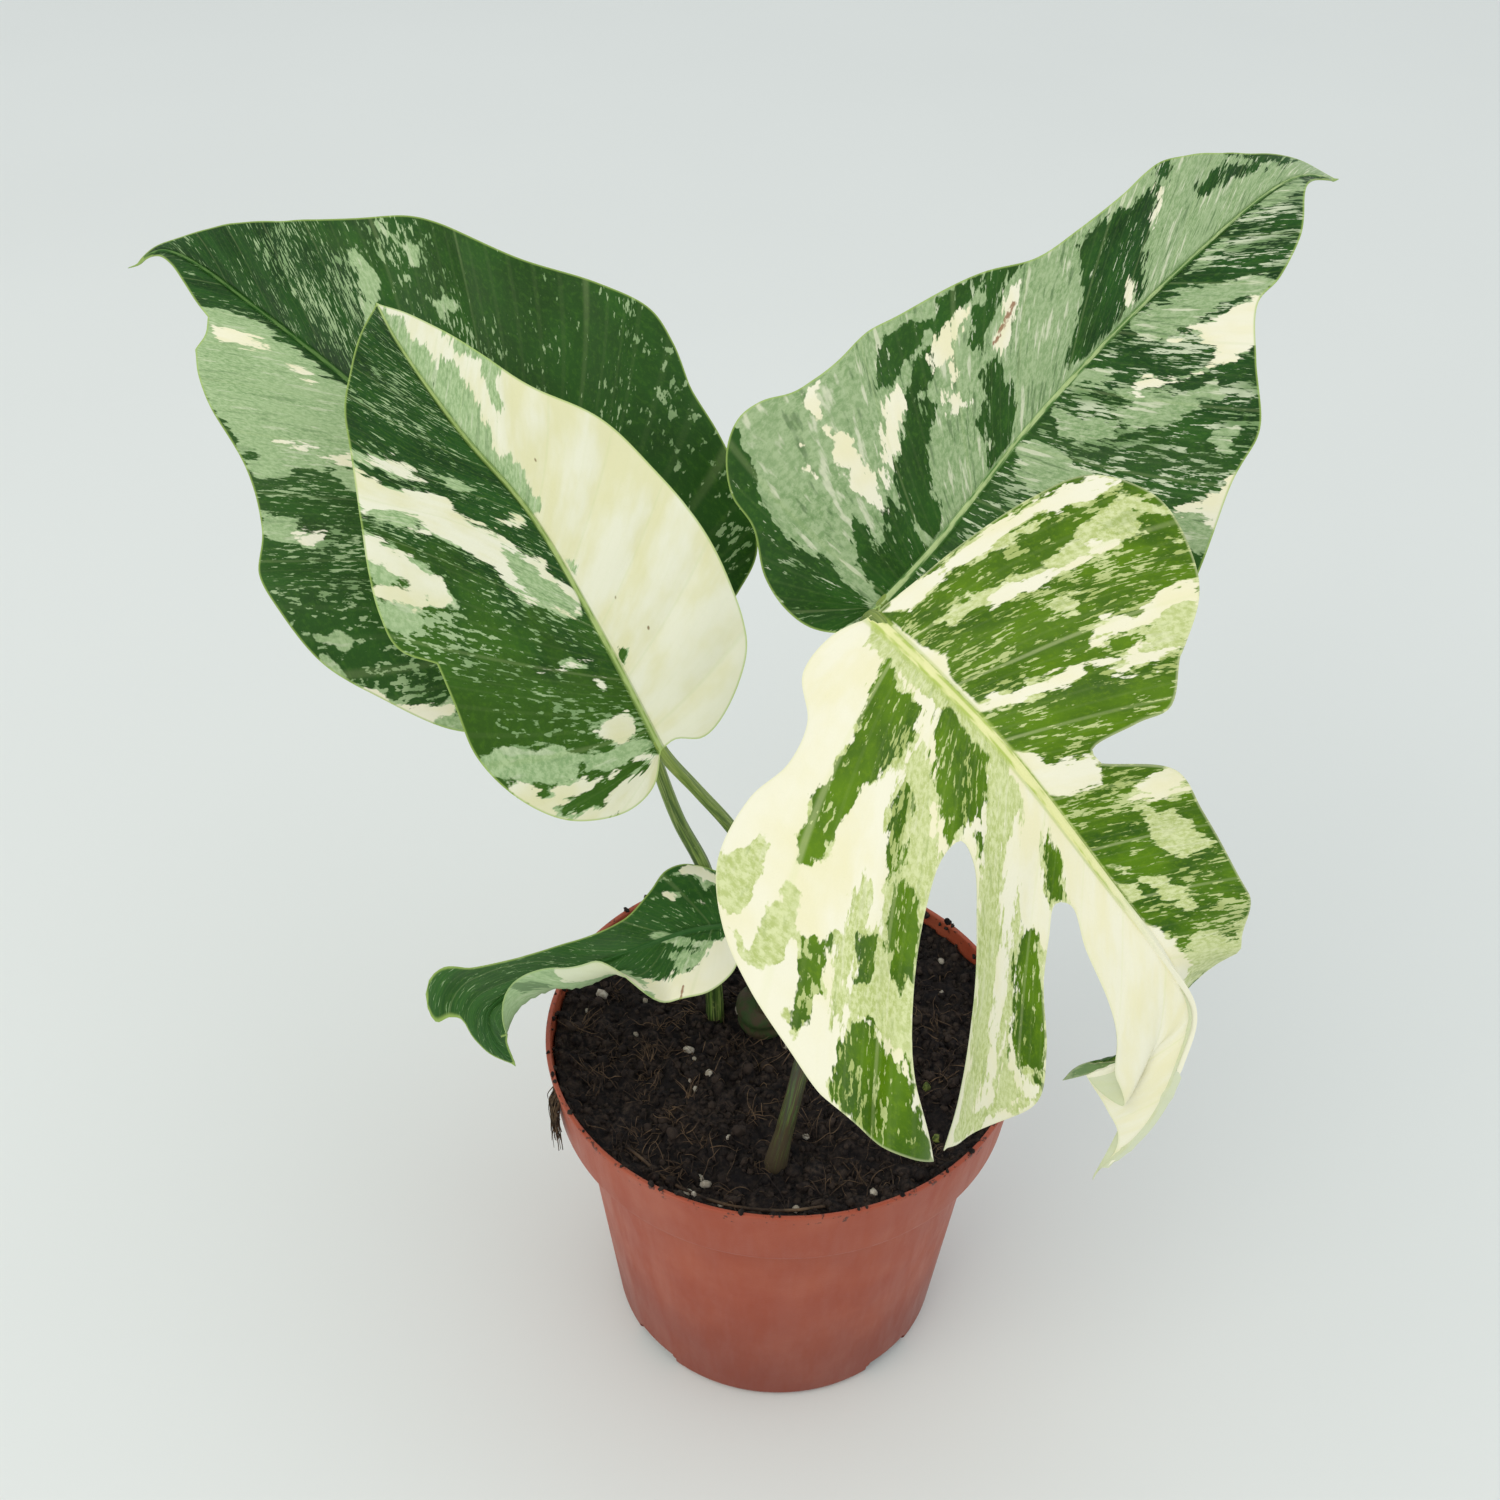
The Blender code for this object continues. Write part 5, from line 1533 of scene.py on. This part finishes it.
def add_litter(name, chunks, skin, tints=None):
    """One piece from many small ones, with a tint for each point where the skin reads one."""
    points, faces = joined(chunks)
    attributes = None if tints is None else {"tint": np.concatenate(tints)}
    new_piece(name, points, faces, skin, attributes=attributes, sharp=0)


def add_crumbs(settings, rng):
    """Loose crumbs of peat, most of them small."""
    template, triangles = sphere_template(2)
    chunks, tints = [], []
    for x, y in scattered(rng, settings.crumbs, soil_radius(SOIL_TOP_Z) - 0.8):
        size = 0.45 + 1.2 * rng.power(0.45) * rng.uniform(0.3, 1) ** 1.5
        place = (x, y, soil_height(x, y) + size * 0.25)
        chunks.append((pebble(rng, template, size) + place, triangles))
        tints.append(np.full(len(template), rng.uniform(0, 1) ** 2))
    add_litter("peat_crumbs", chunks, peat("crumbled_peat", settings), tints)


def add_perlite(settings, rng):
    """White grains of expanded mineral."""
    spots = scattered(rng, settings.grains, soil_radius(SOIL_TOP_Z) - 2)
    skin = matt_skin("expanded_perlite", linear("8C8272"), settings.perlite, 0.0012, 0.9)
    add_litter("perlite_grains", half_sunk(rng, spots, 0.45, 1.25, 0.22), skin)


def add_fibres(settings, rng):
    """Loose root fibres, and one long root that lies along the front of the pot."""
    chunks = []
    for x, y in scattered(rng, settings.fibres, soil_radius(SOIL_TOP_Z) - 3):
        size = 3 + 15 * rng.uniform(0, 1) ** 3
        chunks.append(strand(rng, fibre_path(rng, x, y, size, 2.2), 4, 0.9, (0.07, 0.17), 0.4))
    path = []
    for angle in np.radians(np.linspace(*LONG_ROOT_TURNS, 9)):
        radius = LONG_ROOT_RADIUS + 1.5 * math.sin(3 * angle)
        x, y = radius * math.cos(angle), radius * math.sin(angle)
        path.append((x, y, soil_height(x, y) + 0.9))
    path = evenly_spaced(smooth_through(path, 8), 0.9)
    chunks.append(tube(path, np.full(len(path), 0.4), 7))
    skin = matt_skin("dry_root_fibre", linear("1E1612"), settings.fibre, 0.009, 0.75)
    add_litter("root_fibres", chunks, skin)


def add_tufts(settings, rng):
    """Tufts of short stiff fibres that stand out of the peat."""
    chunks = []
    for x, y in scattered(rng, TUFTS, soil_radius(SOIL_TOP_Z) - 4):
        base = np.array([x, y, soil_height(x, y)])
        lean = rng.normal(0, 0.6, 2)
        for _ in range(rng.integers(6, 14)):
            heading = np.append(lean + rng.normal(0, 0.75, 2), rng.uniform(0.25, 1.0))
            tip = base + unit(heading) * rng.uniform(2.5, 7.5)
            tip[2] -= rng.uniform(0, 1.5)
            start = base + np.append(rng.normal(0, 0.9, 2), -0.4)
            middle = (start + tip) / 2 + rng.normal(0, 0.5, 3)
            chunks.append(strand(rng, [start, middle, tip], 5, 0.9, (0.08, 0.2), 0.35))
    skin = matt_skin("dark_bark_fibre", linear("171110"), settings.fibre, 0.007, 0.8)
    add_litter("peat_tufts", chunks, skin)


def add_green_grains(settings, rng):
    """Small grains that algae have turned green, behind the split leaf."""
    skin = matt_skin("grain_green_with_algae", linear("3C4A1E"), settings.algae, 0.0012, 0.8)
    add_litter("green_grains", half_sunk(rng, GREEN_GRAINS, 0.8, 1.5, 0.2), skin)


def add_rim_litter(settings, rng):
    """Crumbs that stick to the rim, and a dry tuft that hangs over its left side."""
    template, triangles = sphere_template(2)
    chunks, tints = [], []
    for _ in range(RIM_CRUMBS):
        angle = rng.uniform(0, math.tau)
        size = rng.uniform(0.25, 0.95)
        inside = rng.uniform() < 0.7
        z = POT_HEIGHT - (rng.uniform(0.3, 5) if inside else -size * 0.3)
        radius = soil_radius(z) + 0.1 if inside else RIM_RADIUS - 0.7
        place = (radius * math.cos(angle), radius * math.sin(angle), z)
        chunks.append((pebble(rng, template, size) + place, triangles))
        tints.append(np.full(len(template), rng.uniform(0, 0.6)))
    add_litter("rim_crumbs", chunks, peat("peat_on_the_rim", settings), tints)
    chunks = []
    side = math.radians(DRY_TUFT_TURN)
    out = np.array([math.cos(side), math.sin(side), 0])
    across = np.array([-math.sin(side), math.cos(side), 0])
    for _ in range(DRY_STRANDS):
        shift = rng.normal(0, 1.1)
        start = out * (RIM_RADIUS - 0.6) + across * (shift - 1) + (0, 0, POT_HEIGHT - rng.uniform(0, 2))
        drop = rng.uniform(4, 19)
        middle = start + out * rng.uniform(0.8, 1.8) + across * rng.normal(0, 0.8) + (0, 0, -drop * 0.45)
        end = middle + across * rng.normal(1.0, 1.2) + out * rng.uniform(-0.6, 0.5) + (0, 0, -drop * 0.55)
        chunks.append(strand(rng, [start, middle, end], 6, 0.8, (0.12, 0.28), 0.4))
    skin = matt_skin("dry_moss", linear("241A12"), linear("63503A"), 0.0015, 0.85)
    add_litter("dry_tuft", chunks, skin)


class MONSTERA_OT_litter(bpy.types.Operator):
    """Scatters crumbs, perlite and fibres on the soil and along the rim"""

    bl_idname = "monstera.litter"
    bl_label = "Litter"

    def execute(self, context):
        settings = context.scene.monstera_soil
        kinds = (add_crumbs, add_perlite, add_fibres, add_rim_litter, add_tufts, add_green_grains)
        for seed, spread in enumerate(kinds, FIRST_SEED):
            spread(settings, np.random.default_rng(seed))
        return {"FINISHED"}


# Stage.

CAMERA_PLACE = (0.0, -0.318, 0.428)
CAMERA_YAW, CAMERA_PITCH, CAMERA_ROLL = -1.73, 37.65, 1.01  # degrees: to the right, down, and tilted
CAMERA_SENSOR = 36.0
FLOOR_REACH = 6.0  # metres from the middle to each side
# Each light's place and side in metres, its share of the key light's power, and its colour.
LIGHTS = {
    "window": ((-0.9, -0.9, 1.3), 1.2, 1.0, "FFFBF2"),
    "room": ((1.2, -0.3, 1.1), 1.6, 0.35, "F2F6FF"),
}


def camera_matrix():
    yaw, pitch, roll = (math.radians(a) for a in (CAMERA_YAW, CAMERA_PITCH, CAMERA_ROLL))
    forward = Vector((math.sin(yaw) * math.cos(pitch), math.cos(yaw) * math.cos(pitch), -math.sin(pitch)))
    level = Vector((math.cos(yaw), -math.sin(yaw), 0))
    above = level.cross(forward)
    right = math.cos(roll) * level + math.sin(roll) * above
    up = -math.sin(roll) * level + math.cos(roll) * above
    matrix = Matrix((right, up, -forward)).transposed().to_4x4()
    matrix.translation = CAMERA_PLACE
    return matrix


def area_light(name, place, target, size, power, tone):
    """A soft square light that faces the target."""
    data = bpy.data.lights.new(name, "AREA")
    data.size = size
    data.energy = power
    data.color = tone
    obj = bpy.data.objects.new(name, data)
    bpy.context.scene.collection.objects.link(obj)
    obj.location = place
    obj.rotation_euler = (target - Vector(place)).to_track_quat("-Z", "Y").to_euler()


def painted_floor(settings):
    """Pale matt floor paint, rolled. It is even, with barely darker clouds."""
    made, tree, shader = new_material("painted_pale_floor")
    clouds = grain(tree, places(tree), 0.25, 2.0, 2.0, 0.5)
    low = tuple(value * 0.96 for value in settings.floor)
    tree.links.new(blended(tree, clouds, low, settings.floor), shader.inputs["Base Color"])
    shader.inputs["Roughness"].default_value = 0.7
    shader.inputs["Specular IOR Level"].default_value = 0.2
    return made


class MONSTERA_OT_stage(bpy.types.Operator):
    """Sets up the floor, the soft light and the camera"""

    bl_idname = "monstera.stage"
    bl_label = "Stage"

    def execute(self, context):
        settings = context.scene.monstera_stage
        scene = context.scene
        mesh = bpy.data.meshes.new("floor")
        corners = [(x * FLOOR_REACH, y * FLOOR_REACH, 0) for x, y in ((-1, -1), (1, -1), (1, 1), (-1, 1))]
        mesh.from_pydata(corners, [], [(0, 1, 2, 3)])
        mesh.materials.append(painted_floor(settings))
        floor = bpy.data.objects.new("floor", mesh)
        scene.collection.objects.link(floor)
        world = bpy.data.worlds.new("daylight")
        scene.world = world
        world.use_nodes = True
        sky = world.node_tree.nodes["Background"]
        sky.inputs["Color"].default_value = (*linear("F7FAFF"), 1.0)
        sky.inputs["Strength"].default_value = settings.sky
        middle = (Vector(CAD_BOX[0]) + Vector(CAD_BOX[1])) / 2
        for name, (place, size, share, tone) in LIGHTS.items():
            area_light(name, place, middle, size, settings.key * share, linear(tone))
        data = bpy.data.cameras.new("camera")
        data.lens = settings.lens
        data.sensor_width = CAMERA_SENSOR
        camera = bpy.data.objects.new("camera", data)
        scene.collection.objects.link(camera)
        camera.matrix_world = camera_matrix()
        scene.camera = camera
        scene.view_settings.view_transform = "Standard"
        return {"FINISHED"}


class MONSTERA_PT_panel(bpy.types.Panel):
    """Lists the monstera's pieces"""

    bl_idname = "MONSTERA_PT_panel"
    bl_label = "Monstera"
    bl_space_type = "VIEW_3D"
    bl_region_type = "UI"
    bl_category = "Monstera"

    def draw(self, context):
        for operator in OPERATORS:
            self.layout.operator(operator.bl_idname)
        for key in SETTINGS:
            box = self.layout.box()
            settings = getattr(context.scene, key)
            for name in settings.bl_rna.properties.keys():
                if name not in ("rna_type", "name"):
                    box.prop(settings, name)


SETTINGS = {
    "monstera_leaf": MonsteraLeafSettings,
    "monstera_stalk": MonsteraStalkSettings,
    "monstera_pot": MonsteraPotSettings,
    "monstera_soil": MonsteraSoilSettings,
    "monstera_stage": MonsteraStageSettings,
}
OPERATORS = (
    MONSTERA_OT_pot,
    MONSTERA_OT_soil,
    MONSTERA_OT_litter,
    MONSTERA_OT_stem,
    MONSTERA_OT_petioles,
    MONSTERA_OT_leaves,
    MONSTERA_OT_stage,
)


def register():
    for kind in (*SETTINGS.values(), *OPERATORS, MONSTERA_PT_panel):
        bpy.utils.register_class(kind)
    for key, kind in SETTINGS.items():
        setattr(bpy.types.Scene, key, PointerProperty(type=kind))


def unregister():
    for key in SETTINGS:
        delattr(bpy.types.Scene, key)
    for kind in reversed((*SETTINGS.values(), *OPERATORS, MONSTERA_PT_panel)):
        bpy.utils.unregister_class(kind)


def plain(box):
    return [[float(value) for value in corner] for corner in box]


def main():
    register()
    for operator in OPERATORS:
        module, name = operator.bl_idname.split(".")
        getattr(getattr(bpy.ops, module), name)()


if __name__ == "__main__":
    main()
